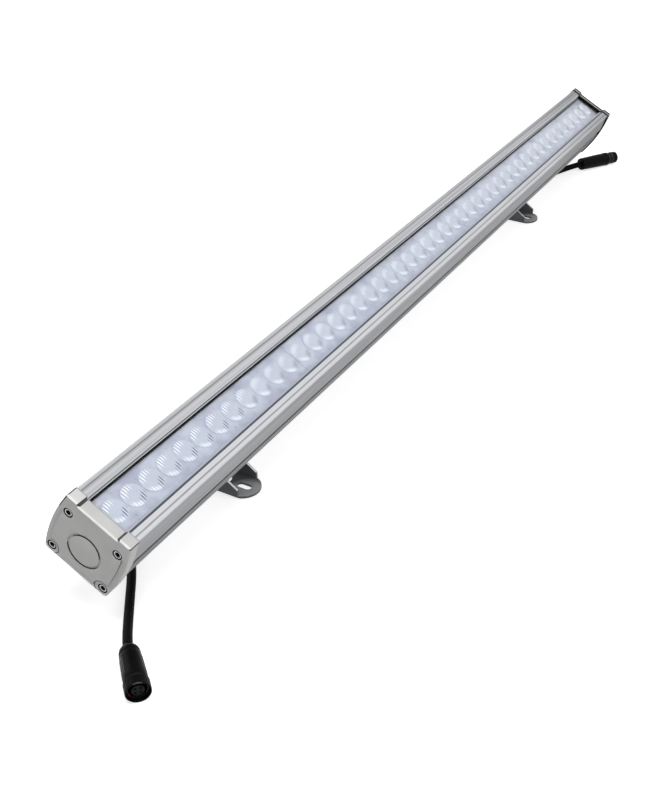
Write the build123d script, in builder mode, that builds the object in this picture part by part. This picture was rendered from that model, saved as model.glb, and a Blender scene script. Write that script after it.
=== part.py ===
"""Wall washer light: a one metre LED lamp, tilted on two brackets that slide along its underside.

World frame: X along the lamp, +Z up, origin on the floor between the two brackets, below the tilt axis.
The lamp has a frame of its own, turned by TILT about the tilt axis: y across it, z up from its underside.
"""
from build123d import *

import math
import os

os.makedirs("parts", exist_ok=True)

# Lamp as a whole
LENGTH = 1000.0
TILT = 27.7
PIVOT_HEIGHT = 33.4
PIVOT_DROP = 12.0
RUN_GAP = 0.3
FIT_GAP = 0.05
SEAT_GAP = 0.1

# Extrusion section: half widths across y, heights up z
TOP_HALF = 27.6
BOTTOM_HALF = 27.6
FLANK_BOW = 0.4
TOP_HEIGHT = 58.6
LIP_HALF = 31.0
BAND_HALF = 30.0
BAND_LOW = 31.0
BAND_HIGH = 39.0
LIP_LOW = 26.0
CORNER_R = 3.8
RAIL_INNER = 19.2
RAIL_BEVEL = 2.0
RAIL_LEDGE = 0.7
RAIL_LINE_Y = 24.2
RAIL_LINE = 0.6
WALL = 1.8
FLOOR = 8.0
WEB_TOP = 36.0
WEB = 3.0
DRIVER_ROOM_HALF = 24.0
POCKET_IN = 10.5
POCKET_OUT = 19.2
POCKET_FLOOR = 2.5
CELL_LOW = 33.0
CELL_ROOF = 9.1
CELL_OUT = 27.6
TRACK_MOUTH = 7.0
TRACK_WIDTH = 13.0
TRACK_LOW = 2.0
TRACK_HIGH = 6.5

# End caps and their screws
CAP_T = 9.5
CAP_OVER = 0.6
CAP_FOOT = 3.2
CAP_BULGE = 31.6
CAP_CHAMFER = 1.05
CAP_RIM = 4.4
CAP_RIM_DEPTH = 1.1
CAP_RIM_DROP = 14.6
CAP_RIM_SCREW_R = 6.6
CAP_POCKET = 4.0
CAP_POCKET_HALF = 15.0
CAP_POCKET_LOW = 12.0
CAP_POCKET_ROOF = 8.6
GASKET_T = 0.8
RING_Z = 23.0
RING_R = 14.6
RING_W = 1.9
RING_DEPTH = 1.2
UPPER_SCREW_Y = 22.0
UPPER_SCREW_DROP = 13.6
LOWER_SCREW = (23.6, 2.6)
BOSS_R = 3.8
CAP_SCREW_R = 1.7
CAP_SCREW_HEAD_R = 3.4
CAP_SCREW_HEAD = 4.0
CAP_SCREW_BITE = 12.0
CAP_BORE_R = 4.0
CAP_BORE = 4.3
HEX_KEY = 3.0

# Glass, lenses and LED boards
GLASS_T = 3.0
GLASS_HALF = 19.4
GLASS_DROP = 2.8
SEAL_W = 1.7
BOARDS = 4
LED_PITCH = 20.4
BOARD_GAP = 0.3
BOARD_HALF = 15.0
BOARD_T = 1.6
LED_SIZE = 3.5
LED_T = 1.4
LENS_R = 9.8
LENS_FOOT_R = 4.5
LENS_WELL_R = 2.8
LENS_WELL = 3.0
LENS_GAP = 0.4
LENS_CAP = 1.2
LENS_PLATE_T = 1.6
LENS_PLATE_HALF = 15.9
BOARD_SCREW_R = 1.4
BOARD_SCREW_HEAD_R = 2.7
BOARD_SCREW_HEAD = 1.8
BOARD_SCREW_Y = 11.5
LED_LEAD_X = 2.0 * LED_PITCH
LED_LEAD_Y = 8.5
LED_LEAD_R = 1.2

# Driver board in the lower room
DRIVER_L = 560.0
DRIVER_Z = 13.0
DRIVER_T = 1.6
DRIVER_SLOT = 1.5
TERMINAL = (14.0, 12.0, 9.0)
COIL = (34.0, 26.0, 15.0)
CHOKE_R = 9.0
CHOKE_H = 12.0
CAN_R = 6.0
CAN_H = 14.0

# Cable glands in the underside
GLAND_INSET = 80.0
GLAND_R = 6.0
GLAND_BORE_R = 3.6
GLAND_FLAT = 15.0
GLAND_FLANGE = 3.0
GLAND_THREAD = 12.0
LOCK_NUT = 3.0
LOCK_NUT_FLAT = 16.0
CLAMP_NUT = 10.0
CLAMP_NUT_R = 7.4
CLAMP_NUT_MOUTH_R = 5.0
CLAMP_NUT_WALL = 1.6
LEAD_R = 1.1
LEAD_SPREAD = 1.7

# Cables and connectors
CABLE_R = 3.6
CABLE_STRAIGHT = 12.0
CONNECTOR_STRAIGHT = 6.0
NEAR_CABLE_POINTS = ((5.5, 7.0, 10.2), (16.0, 0.0, 4.1), (32.0, -13.0, 3.8), (51.4, -26.4, 3.7), (69.0, -38.8, 4.6))
FAR_CABLE_POINTS = ((6.0, 7.5, 10.4), (17.5, 5.0, 4.2), (35.0, 1.0, 3.8), (50.0, -4.5, 3.7), (61.5, -11.2, 5.2))
SOCKET_REAR = (95.8, -60.2, 9.3)
SOCKET_HEADING = 226.8
SOCKET_NECK_R = 4.4
SOCKET_DOME = 7.0
SOCKET_R = 7.7
SOCKET_FRONT_R = 8.6
SOCKET_BODY = 33.2
SOCKET_TUBE_R = 7.4
SOCKET_TUBE = 5.0
SOCKET_BORE_R = 6.6
SOCKET_BORE = 12.0
SOCKET_SEAL_R = 7.9
SOCKET_SEAL_T = 1.0
INSERT_R = 4.5
INSERT_ROOT = 4.0
INSERT_REACH = 14.0
SOCKET_L = 42.2
NUT_R = 9.1
NUT_MOUTH_R = 8.2
NUT_RIBS = 24
NUT_RIB_R = 0.35
PLUG_REAR = (80.4, -26.9, 8.7)
PLUG_HEADING = -32.4
PLUG_NECK_R = 5.4
PLUG_DOME = 2.2
PLUG_R = 7.8
PLUG_COLLAR_R = 8.5
PLUG_BODY = 44.0
PLUG_THREAD_R = 7.6
PLUG_THREAD = 7.0
PLUG_SEAT_R = 6.8
PLUG_SEAT = 2.0
PLUG_SPIGOT_R = 7.4
PLUG_L = 58.0
PLUG_BORE_R = 4.8
PLUG_BORE = 15.0
PLUG_INSERT = 4.0
RING_CORD = 0.9
CONTACTS = 4
CONTACT_CIRCLE_R = 2.6
PIN_R = 0.7
PIN_L = 14.0

# Brackets
BRACKET_INSET = 185.0
SHEET = 2.2
BASE_HALF = 15.4
FOOT_REACH = 36.8
FOOT_SLOT_Y = 23.0
FOOT_SLOT_L = 13.2
FOOT_SLOT_W = 6.6
FOOT_HOLE_R = 9.0
EAR_FOOT_HALF = 26.0
EAR_SHOULDER = 8.0
EAR_NECK = (17.0, 14.0)
EAR_TOP_R = 9.0
CARRIER_HALF_Y = 11.0
CARRIER_EAR_R = 8.0
PIVOT_R = 3.0
PIVOT_HEAD_R = 5.2
PIVOT_HEAD = 3.2
PIVOT_NUT_FLAT = 10.0
PIVOT_NUT = 5.0
WASHER_R = 6.2
WASHER_T = 1.2
T_NUT_L = 18.0
T_NUT_T = 3.6
TRACK_SCREW_R = 2.5
TRACK_SCREW_HEAD_R = 4.6
TRACK_SCREW_HEAD = 2.8

# The lamp's own frame: y across, z up from its underside, x as in the world
tilt_axis = Plane(
    origin=(0, 0, PIVOT_HEIGHT),
    x_dir=(1, 0, 0),
    z_dir=(0, -math.sin(math.radians(TILT)), math.cos(math.radians(TILT))),
)
lamp = tilt_axis.offset(PIVOT_DROP)

# Lengths and heights that follow from the sizes above
housing_half = LENGTH / 2 - CAP_T - GASKET_T
chamber_half = RAIL_INNER - RAIL_BEVEL
opening_half = chamber_half - RAIL_LEDGE
bevel_low = TOP_HEIGHT - RAIL_BEVEL
board_low = WEB_TOP
board_top = WEB_TOP + BOARD_T
leds_per_board = int(2 * housing_half // (BOARDS * LED_PITCH))
board_length = leds_per_board * LED_PITCH - BOARD_GAP
glass_low = TOP_HEIGHT - GLASS_DROP - GLASS_T
lens_plate_top = glass_low - LENS_GAP - LENS_CAP
lens_plate_low = lens_plate_top - LENS_PLATE_T
cell_high = TOP_HEIGHT - CELL_ROOF
cap_rim_top = TOP_HEIGHT - CAP_RIM_DROP
cap_pocket_high = TOP_HEIGHT - CAP_POCKET_ROOF
upper_screws = [(side * UPPER_SCREW_Y, TOP_HEIGHT - UPPER_SCREW_DROP) for side in (-1, 1)]
lower_screws = [(side * LOWER_SCREW[0], LOWER_SCREW[1]) for side in (-1, 1)]
screw_spots = upper_screws + lower_screws
lower_bore = CAP_BORE + CAP_RIM_DEPTH
gland_x = LENGTH / 2 - GLAND_INSET
bracket_x = LENGTH / 2 - BRACKET_INSET
ends = (("near", -1), ("far", 1))


def section(x):
    """Plane across the lamp at station x: sketch x is the lamp's y, sketch y is its z."""
    return Plane(origin=lamp.from_local_coords((x, 0, 0)), x_dir=lamp.y_dir, z_dir=lamp.x_dir)


def board_centre(index):
    """Station of the middle of LED board number index."""
    return (index - (BOARDS - 1) / 2) * leds_per_board * LED_PITCH


def led_stations(index):
    """Stations of the LEDs on board number index."""
    middle = (leds_per_board - 1) / 2
    return [board_centre(index) + (n - middle) * LED_PITCH for n in range(leds_per_board)]


def board_screw_spots(index):
    """Screw places of one board: two in each third space between lenses, either side of the row."""
    stations = led_stations(index)
    return [
        (stations[n] + LED_PITCH / 2, side * BOARD_SCREW_Y)
        for n in (1, leds_per_board - 3)
        for side in (-1, 1)
    ]


# Housing: the extrusion, with glass grooves, screw ports, a bracket track and two rooms
with BuildPart() as housing:
    with BuildSketch(section(-housing_half)) as extrusion:
        with BuildLine():
            lower_flank = (BOTTOM_HALF + LIP_HALF) / 2 + FLANK_BOW, LIP_LOW / 2
            ThreePointArc((BOTTOM_HALF, 0), lower_flank, (LIP_HALF, LIP_LOW))
            band_step = LIP_HALF - BAND_HALF
            Line((LIP_HALF, LIP_LOW), (LIP_HALF, BAND_LOW - band_step))
            Line((LIP_HALF, BAND_LOW - band_step), (BAND_HALF, BAND_LOW))
            Line((BAND_HALF, BAND_LOW), (BAND_HALF, BAND_HIGH))
            Line((BAND_HALF, BAND_HIGH), (LIP_HALF, BAND_HIGH + band_step))
            upper_flank = (TOP_HALF + LIP_HALF) / 2 + FLANK_BOW, (BAND_HIGH + TOP_HEIGHT) / 2
            ThreePointArc((LIP_HALF, BAND_HIGH + band_step), upper_flank, (TOP_HALF, TOP_HEIGHT))
            Line((TOP_HALF, TOP_HEIGHT), (RAIL_INNER, TOP_HEIGHT))
            Line((RAIL_INNER, TOP_HEIGHT), (chamber_half, bevel_low))
            mirror(about=Plane.YZ)
            Line((-chamber_half, bevel_low), (chamber_half, bevel_low))
            Line((-BOTTOM_HALF, 0), (BOTTOM_HALF, 0))
        make_face()
        fillet(extrusion.vertices().group_by(Axis.Y)[0], CORNER_R)
        with Locations((0, WEB_TOP)):
            Rectangle(2 * opening_half, bevel_low - WEB_TOP, align=(Align.CENTER, Align.MIN), mode=Mode.SUBTRACT)
            Rectangle(2 * chamber_half, glass_low - WEB_TOP, align=(Align.CENTER, Align.MIN), mode=Mode.SUBTRACT)
        with Locations((0, glass_low - SEAT_GAP)):
            Rectangle(
                2 * (GLASS_HALF + SEAT_GAP),
                GLASS_T + 2 * SEAT_GAP,
                align=(Align.CENTER, Align.MIN),
                mode=Mode.SUBTRACT,
            )
        with Locations((0, FLOOR)):
            Rectangle(
                2 * DRIVER_ROOM_HALF,
                WEB_TOP - WEB - FLOOR,
                align=(Align.CENTER, Align.MIN),
                mode=Mode.SUBTRACT,
            )
        with Locations((0, DRIVER_Z - SEAT_GAP)):
            Rectangle(
                2 * (DRIVER_ROOM_HALF + DRIVER_SLOT),
                DRIVER_T + 2 * SEAT_GAP,
                align=(Align.CENTER, Align.MIN),
                mode=Mode.SUBTRACT,
            )
        for side in (-1, 1):
            with Locations((side * (POCKET_IN + POCKET_OUT) / 2, POCKET_FLOOR)):
                Rectangle(
                    POCKET_OUT - POCKET_IN,
                    FLOOR - POCKET_FLOOR,
                    align=(Align.CENTER, Align.MIN),
                    mode=Mode.SUBTRACT,
                )
            with Locations((side * (chamber_half + WALL + CELL_OUT) / 2, CELL_LOW)):
                Rectangle(
                    CELL_OUT - chamber_half - WALL,
                    cell_high - CELL_LOW,
                    align=(Align.CENTER, Align.MIN),
                    mode=Mode.SUBTRACT,
                )
            with Locations((side * RAIL_LINE_Y, TOP_HEIGHT)):
                Rectangle(RAIL_LINE, 2 * RAIL_LINE, mode=Mode.SUBTRACT)
        Rectangle(TRACK_MOUTH, TRACK_LOW, align=(Align.CENTER, Align.MIN), mode=Mode.SUBTRACT)
        with Locations((0, TRACK_LOW)):
            Rectangle(TRACK_WIDTH, TRACK_HIGH - TRACK_LOW, align=(Align.CENTER, Align.MIN), mode=Mode.SUBTRACT)
        with Locations(*upper_screws):
            Circle(BOSS_R)
        with Locations(*screw_spots):
            Circle(CAP_SCREW_R + FIT_GAP, mode=Mode.SUBTRACT)
    extrude(amount=2 * housing_half)
    with BuildSketch(lamp):
        with Locations((-gland_x, 0), (gland_x, 0)):
            Circle(GLAND_R + FIT_GAP)
    extrude(amount=FLOOR, mode=Mode.SUBTRACT)
    with BuildSketch(lamp.offset(WEB_TOP)):
        with Locations(*[spot for n in range(BOARDS) for spot in board_screw_spots(n)]):
            Circle(BOARD_SCREW_R + FIT_GAP)
        with Locations((LED_LEAD_X, -LED_LEAD_Y), (LED_LEAD_X, LED_LEAD_Y)):
            Circle(LED_LEAD_R + RUN_GAP)
    extrude(amount=-WEB, mode=Mode.SUBTRACT)
housing.part.label = "housing"
export_step(housing.part, "parts/housing.step")

# End caps, gaskets and cap screws, the same at both ends
for end, way in ends:
    cap_inside = way * (LENGTH / 2 - CAP_T)
    with BuildPart() as end_cap:
        with BuildSketch(section(cap_inside)) as cap_outline:
            with BuildLine():
                hump = TOP_HEIGHT + CAP_OVER
                flank_low = (BOTTOM_HALF + CAP_OVER, -CAP_FOOT)
                flank_top = (TOP_HALF + CAP_OVER, hump)
                ThreePointArc(flank_low, (CAP_BULGE, (flank_low[1] + hump) / 2), flank_top)
                Line(flank_top, (RAIL_INNER - CAP_OVER, hump))
                notch = chamber_half - CAP_OVER
                Line((RAIL_INNER - CAP_OVER, hump), (notch, hump - RAIL_BEVEL))
                mirror(about=Plane.YZ)
                Line((-notch, hump - RAIL_BEVEL), (notch, hump - RAIL_BEVEL))
                Line((-flank_low[0], flank_low[1]), flank_low)
            make_face()
            fillet(cap_outline.vertices().group_by(Axis.Y)[0], CORNER_R)
        extrude(amount=way * CAP_T)
        outer_rim = end_cap.faces().sort_by(Axis.X)[-1 if way > 0 else 0].edges()
        chamfer(outer_rim, CAP_CHAMFER)
        with BuildSketch(section(way * LENGTH / 2)):
            add(cap_outline.sketch_local)
            offset(cap_outline.sketch_local, amount=-CAP_RIM, mode=Mode.SUBTRACT)
            with Locations((0, cap_rim_top)):
                Rectangle(4 * CAP_BULGE, TOP_HEIGHT, align=(Align.CENTER, Align.MIN), mode=Mode.SUBTRACT)
            with Locations(*lower_screws):
                Circle(CAP_RIM_SCREW_R)
        extrude(amount=-way * CAP_RIM_DEPTH, mode=Mode.SUBTRACT)
        with BuildSketch(section(way * LENGTH / 2)):
            with Locations((0, RING_Z)):
                Circle(RING_R)
                Circle(RING_R - RING_W, mode=Mode.SUBTRACT)
        extrude(amount=-way * RING_DEPTH, mode=Mode.SUBTRACT)
        for spots, bore in ((upper_screws, CAP_BORE), (lower_screws, lower_bore)):
            with BuildSketch(section(way * LENGTH / 2)):
                with Locations(*spots):
                    Circle(CAP_BORE_R)
            extrude(amount=-way * bore, mode=Mode.SUBTRACT)
        with BuildSketch(section(way * LENGTH / 2)):
            with Locations(*screw_spots):
                Circle(CAP_SCREW_R + FIT_GAP)
        extrude(amount=-way * CAP_T, mode=Mode.SUBTRACT)
        with BuildSketch(section(cap_inside)):
            with Locations((0, (CAP_POCKET_LOW + cap_pocket_high) / 2)):
                Rectangle(2 * CAP_POCKET_HALF, cap_pocket_high - CAP_POCKET_LOW)
        extrude(amount=way * CAP_POCKET, mode=Mode.SUBTRACT)
    end_cap.part.label = f"{end}_end_cap"
    export_step(end_cap.part, f"parts/{end}_end_cap.step")

    with BuildPart() as gasket:
        with BuildSketch(section(cap_inside)):
            add(cap_outline.sketch_local)
            with Locations((0, (CAP_POCKET_LOW + cap_pocket_high) / 2)):
                Rectangle(2 * CAP_POCKET_HALF, cap_pocket_high - CAP_POCKET_LOW, mode=Mode.SUBTRACT)
            with Locations(*screw_spots):
                Circle(CAP_SCREW_R + FIT_GAP, mode=Mode.SUBTRACT)
        extrude(amount=-way * GASKET_T)
    gasket.part.label = f"{end}_cap_gasket"
    export_step(gasket.part, f"parts/{end}_cap_gasket.step")

    with BuildPart() as cap_screws:
        for spots, bore in ((upper_screws, CAP_BORE), (lower_screws, lower_bore)):
            head_seat = way * (LENGTH / 2 - bore)
            with BuildSketch(section(head_seat)):
                with Locations(*spots):
                    Circle(CAP_SCREW_HEAD_R)
            extrude(amount=way * CAP_SCREW_HEAD)
            with BuildSketch(section(head_seat)):
                with Locations(*spots):
                    Circle(CAP_SCREW_R)
            extrude(amount=-way * (CAP_T - bore + GASKET_T + CAP_SCREW_BITE))
            with BuildSketch(section(head_seat + way * CAP_SCREW_HEAD)):
                with Locations(*spots):
                    RegularPolygon(HEX_KEY / 2, 6, major_radius=False)
            extrude(amount=-way * CAP_SCREW_HEAD / 2, mode=Mode.SUBTRACT)
    cap_screws.part.label = f"{end}_cap_screws"
    export_step(cap_screws.part, f"parts/{end}_cap_screws.step")

# Front glass in its two grooves, with a dark sealing strip between each edge and the lens plates
with BuildPart() as front_glass:
    with BuildSketch(section(-housing_half)):
        with Locations((0, glass_low)):
            Rectangle(2 * GLASS_HALF, GLASS_T, align=(Align.CENTER, Align.MIN))
    extrude(amount=2 * housing_half)
front_glass.part.label = "front_glass"
export_step(front_glass.part, "parts/front_glass.step")

with BuildPart() as glass_seals:
    with BuildSketch(section(-housing_half)):
        for side in (-1, 1):
            with Locations((side * (chamber_half - SEAL_W / 2), lens_plate_top)):
                Rectangle(SEAL_W, glass_low - lens_plate_top, align=(Align.CENTER, Align.MIN))
    extrude(amount=2 * housing_half)
glass_seals.part.label = "glass_seals"
export_step(glass_seals.part, "parts/glass_seals.step")

# LED boards with their packages and lens strips, one set for each quarter of the lamp
for n in range(BOARDS):
    led_spots = [(x, 0) for x in led_stations(n)]
    with BuildPart() as led_board:
        with BuildSketch(lamp.offset(board_low)):
            with Locations((board_centre(n), 0)):
                Rectangle(board_length, 2 * BOARD_HALF)
            with Locations(*board_screw_spots(n)):
                Circle(BOARD_SCREW_R + FIT_GAP, mode=Mode.SUBTRACT)
        extrude(amount=BOARD_T)
    led_board.part.label = f"led_board_{n + 1}"
    export_step(led_board.part, f"parts/led_board_{n + 1}.step")

    with BuildPart() as led_packages:
        with BuildSketch(lamp.offset(board_top)):
            with Locations(*led_spots):
                Rectangle(LED_SIZE, LED_SIZE)
        extrude(amount=LED_T)
    led_packages.part.label = f"led_packages_{n + 1}"
    export_step(led_packages.part, f"parts/led_packages_{n + 1}.step")

    with BuildPart() as lens_strip:
        with BuildSketch(lamp.offset(lens_plate_low)):
            with Locations((board_centre(n), 0)):
                Rectangle(board_length, 2 * LENS_PLATE_HALF)
        extrude(amount=LENS_PLATE_T)
        with BuildSketch(lamp.offset(lens_plate_top)):
            with Locations(*led_spots):
                Circle(LENS_R)
        extrude(amount=LENS_CAP)
        for spot in led_spots:
            with BuildSketch(lamp.offset(board_top)):
                with Locations(spot):
                    Circle(LENS_FOOT_R)
            with BuildSketch(lamp.offset(lens_plate_low)):
                with Locations(spot):
                    Circle(LENS_R)
            loft(ruled=True)
        with BuildSketch(lamp.offset(board_top)):
            with Locations(*led_spots):
                Circle(LENS_WELL_R)
        extrude(amount=LENS_WELL, mode=Mode.SUBTRACT)
    lens_strip.part.label = f"lens_strip_{n + 1}"
    export_step(lens_strip.part, f"parts/lens_strip_{n + 1}.step")

with BuildPart() as board_screws:
    all_board_screws = [spot for n in range(BOARDS) for spot in board_screw_spots(n)]
    with BuildSketch(lamp.offset(board_top)):
        with Locations(*all_board_screws):
            Circle(BOARD_SCREW_HEAD_R)
    extrude(amount=BOARD_SCREW_HEAD)
    with BuildSketch(lamp.offset(board_top)):
        with Locations(*all_board_screws):
            Circle(BOARD_SCREW_R)
    extrude(amount=-(BOARD_T + WEB))
board_screws.part.label = "board_screws"
export_step(board_screws.part, "parts/board_screws.step")

# Driver board, slid into grooves of the lower room
driver_top = DRIVER_Z + DRIVER_T
terminal_x = DRIVER_L / 2 - TERMINAL[0] / 2
with BuildPart() as driver_board:
    with BuildSketch(lamp.offset(DRIVER_Z)):
        Rectangle(DRIVER_L, 2 * (DRIVER_ROOM_HALF + DRIVER_SLOT - SEAT_GAP))
    extrude(amount=DRIVER_T)
driver_board.part.label = "driver_board"
export_step(driver_board.part, "parts/driver_board.step")

with BuildPart() as driver_components:
    with Locations(lamp.offset(driver_top)):
        with Locations((-terminal_x, 0), (terminal_x, 0)):
            Box(*TERMINAL, align=(Align.CENTER, Align.CENTER, Align.MIN))
        with Locations((-COIL[0], 0), (-5 * COIL[0], 0), (4 * COIL[0], 0)):
            Box(*COIL, align=(Align.CENTER, Align.CENTER, Align.MIN))
        with Locations((-3 * COIL[0], 0), (5.5 * COIL[0], 0)):
            Cylinder(CHOKE_R, CHOKE_H, align=(Align.CENTER, Align.CENTER, Align.MIN))
        with GridLocations(3 * CAN_R, 3 * CAN_R, 4, 2):
            with Locations((2.5 * COIL[0], 0)):
                Cylinder(CAN_R, CAN_H, align=(Align.CENTER, Align.CENTER, Align.MIN))
driver_components.part.label = "driver_components"
export_step(driver_components.part, "parts/driver_components.step")

with BuildPart() as led_leads:
    with BuildSketch(lamp.offset(driver_top)):
        with Locations((LED_LEAD_X, -LED_LEAD_Y), (LED_LEAD_X, LED_LEAD_Y)):
            Circle(LED_LEAD_R)
    extrude(amount=board_low - driver_top)
led_leads.part.label = "led_leads"
export_step(led_leads.part, "parts/led_leads.step")

# Cable glands in the underside, with lock nut, rubber seal and clamping nut
clamp_low = -GLAND_FLANGE - CLAMP_NUT
for end, way in ends:
    gland_spot = (way * gland_x, 0)
    with BuildPart() as gland:
        with BuildSketch(lamp):
            with Locations(gland_spot):
                RegularPolygon(GLAND_FLAT / 2, 6, major_radius=False)
        extrude(amount=-GLAND_FLANGE)
        with BuildSketch(lamp):
            with Locations(gland_spot):
                Circle(GLAND_R)
        extrude(amount=GLAND_THREAD)
        with BuildSketch(lamp.offset(-GLAND_FLANGE)):
            with Locations(gland_spot):
                Circle(GLAND_BORE_R)
        extrude(amount=GLAND_FLANGE + GLAND_THREAD, mode=Mode.SUBTRACT)
    gland.part.label = f"{end}_cable_gland"
    export_step(gland.part, f"parts/{end}_cable_gland.step")

    with BuildPart() as lock_nut:
        with BuildSketch(lamp.offset(FLOOR)):
            with Locations(gland_spot):
                RegularPolygon(LOCK_NUT_FLAT / 2, 6, major_radius=False)
                Circle(GLAND_R + FIT_GAP, mode=Mode.SUBTRACT)
        extrude(amount=LOCK_NUT)
    lock_nut.part.label = f"{end}_lock_nut"
    export_step(lock_nut.part, f"parts/{end}_lock_nut.step")

    with BuildPart() as clamp_nut:
        with BuildSketch(lamp.offset(-GLAND_FLANGE)):
            with Locations(gland_spot):
                Circle(CLAMP_NUT_R)
        with BuildSketch(lamp.offset(clamp_low)):
            with Locations(gland_spot):
                Circle(CLAMP_NUT_MOUTH_R + CLAMP_NUT_WALL)
        loft(ruled=True)
        with BuildSketch(lamp.offset(clamp_low)):
            with Locations(gland_spot):
                Circle(CLAMP_NUT_MOUTH_R)
        extrude(amount=CLAMP_NUT, mode=Mode.SUBTRACT)
    clamp_nut.part.label = f"{end}_clamp_nut"
    export_step(clamp_nut.part, f"parts/{end}_clamp_nut.step")

    with BuildPart() as gland_seal:
        with BuildSketch(lamp.offset(clamp_low)):
            with Locations(gland_spot):
                Circle(CLAMP_NUT_MOUTH_R)
                Circle(GLAND_BORE_R, mode=Mode.SUBTRACT)
        extrude(amount=CLAMP_NUT)
    gland_seal.part.label = f"{end}_gland_seal"
    export_step(gland_seal.part, f"parts/{end}_gland_seal.step")

    with BuildPart() as leads:
        lead_height = driver_top + TERMINAL[2] / 2
        for side in (-1, 1):
            rise = [
                lamp.from_local_coords((way * gland_x, side * LEAD_SPREAD, clamp_low)),
                lamp.from_local_coords((way * gland_x, side * LEAD_SPREAD, lead_height)),
                lamp.from_local_coords((way * DRIVER_L / 2, side * LEAD_SPREAD, lead_height)),
            ]
            with BuildLine():
                FilletPolyline(*rise, radius=5 * LEAD_R)
            with BuildSketch(Plane(origin=rise[0], x_dir=lamp.x_dir, z_dir=lamp.z_dir)):
                Circle(LEAD_R)
            sweep()
    leads.part.label = f"{end}_leads"
    export_step(leads.part, f"parts/{end}_leads.step")

# Cables: each leaves its gland, bends down to the floor and lies there as far as its connector
near_rear = (-gland_x - SOCKET_REAR[0], SOCKET_REAR[1], SOCKET_REAR[2])
far_rear = (gland_x + PLUG_REAR[0], PLUG_REAR[1], PLUG_REAR[2])


def heading_vector(angle):
    """Level unit vector at an angle from +X."""
    return Vector(math.cos(math.radians(angle)), math.sin(math.radians(angle)), 0)


def connector_plane(rear, heading, along):
    """Plane across a connector, a distance along its axis from its rear end."""
    axis = heading_vector(heading)
    return Plane(origin=Vector(*rear) + axis * along, x_dir=(0, 0, 1), z_dir=axis)


def bend_radii(points):
    """Radius of each bend of a route: as large as its two runs allow."""
    radii = []
    for before, corner, after in zip(points, points[1:], points[2:]):
        turn = math.radians((corner - before).get_angle(after - corner))
        shorter = min((corner - before).length, (after - corner).length)
        radii.append(0.45 * shorter / math.tan(turn / 2))
    return radii


for end, way, floor_points, rear, heading in (
    ("near", -1, NEAR_CABLE_POINTS, near_rear, SOCKET_HEADING),
    ("far", 1, FAR_CABLE_POINTS, far_rear, PLUG_HEADING),
):
    gland_mouth = lamp.from_local_coords((way * gland_x, 0, clamp_low))
    route = [gland_mouth, gland_mouth - lamp.z_dir * CABLE_STRAIGHT]
    route += [Vector(way * (gland_x + out), y, z) for out, y, z in floor_points]
    route += [Vector(*rear) - heading_vector(heading) * CONNECTOR_STRAIGHT, Vector(*rear)]
    radii = bend_radii(route)
    with BuildPart() as cable:
        with BuildLine() as path:
            FilletPolyline(*route, radius=radii)
        with BuildSketch(Plane(origin=gland_mouth, x_dir=lamp.x_dir, z_dir=-lamp.z_dir)):
            Circle(CABLE_R)
        sweep()
    length = path.wire().length
    swept = cable.part.volume / (math.pi * CABLE_R**2)
    print(f"{end}_cable: length {length:.1f} mm, volume / section {swept:.1f} mm")
    print(f"{end}_cable bend radii:", [round(radius, 1) for radius in radii])
    cable.part.label = f"{end}_cable"
    export_step(cable.part, f"parts/{end}_cable.step")

# Near connector: a socket whose coupling nut turns on the tube at its front
contact_spots = PolarLocations(CONTACT_CIRCLE_R, CONTACTS, start_angle=45)
socket_axis = Axis(near_rear, heading_vector(SOCKET_HEADING))
tube_end = SOCKET_BODY + SOCKET_TUBE
bore_floor = tube_end - SOCKET_BORE
insert_low = bore_floor - INSERT_ROOT


def socket_plane(along):
    return connector_plane(near_rear, SOCKET_HEADING, along)


def profile_plane(axis):
    """Plane through a connector's axis: sketch x runs along the axis, sketch y is the radius."""
    return Plane(origin=axis.position, x_dir=axis.direction, z_dir=axis.direction.cross(Vector(0, 0, 1)))


with BuildPart() as socket_body:
    with BuildSketch(profile_plane(socket_axis)):
        with BuildLine():
            Line((0, 0), (0, SOCKET_NECK_R))
            TangentArc((SOCKET_DOME, SOCKET_R), (0, SOCKET_NECK_R), tangent=(-1, 0))
            Polyline(
                (SOCKET_DOME, SOCKET_R),
                (SOCKET_BODY, SOCKET_FRONT_R),
                (SOCKET_BODY, SOCKET_TUBE_R),
                (tube_end, SOCKET_TUBE_R),
                (tube_end, 0),
                (0, 0),
            )
        make_face()
    revolve(axis=socket_axis)
    with BuildSketch(socket_plane(bore_floor)):
        Circle(SOCKET_BORE_R)
    extrude(amount=SOCKET_BORE, mode=Mode.SUBTRACT)
    with BuildSketch(socket_plane(insert_low)):
        Circle(INSERT_R + SEAT_GAP)
    extrude(amount=INSERT_ROOT, mode=Mode.SUBTRACT)
socket_body.part.label = "near_socket_body"
export_step(socket_body.part, "parts/near_socket_body.step")

with BuildPart() as socket_insert:
    with BuildSketch(socket_plane(insert_low)):
        Circle(INSERT_R)
        with contact_spots:
            Circle(PIN_R + SEAT_GAP, mode=Mode.SUBTRACT)
    extrude(amount=INSERT_ROOT + INSERT_REACH)
socket_insert.part.label = "near_socket_insert"
export_step(socket_insert.part, "parts/near_socket_insert.step")

with BuildPart() as socket_contacts:
    with BuildSketch(socket_plane(insert_low)):
        with contact_spots:
            Circle(PIN_R)
    extrude(amount=INSERT_ROOT + INSERT_REACH / 2)
socket_contacts.part.label = "near_socket_contacts"
export_step(socket_contacts.part, "parts/near_socket_contacts.step")

with BuildPart() as socket_seal:
    with BuildSketch(socket_plane(tube_end)):
        Circle(SOCKET_SEAL_R)
        Circle(SOCKET_BORE_R, mode=Mode.SUBTRACT)
    extrude(amount=SOCKET_SEAL_T)
socket_seal.part.label = "near_socket_seal"
export_step(socket_seal.part, "parts/near_socket_seal.step")

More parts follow.
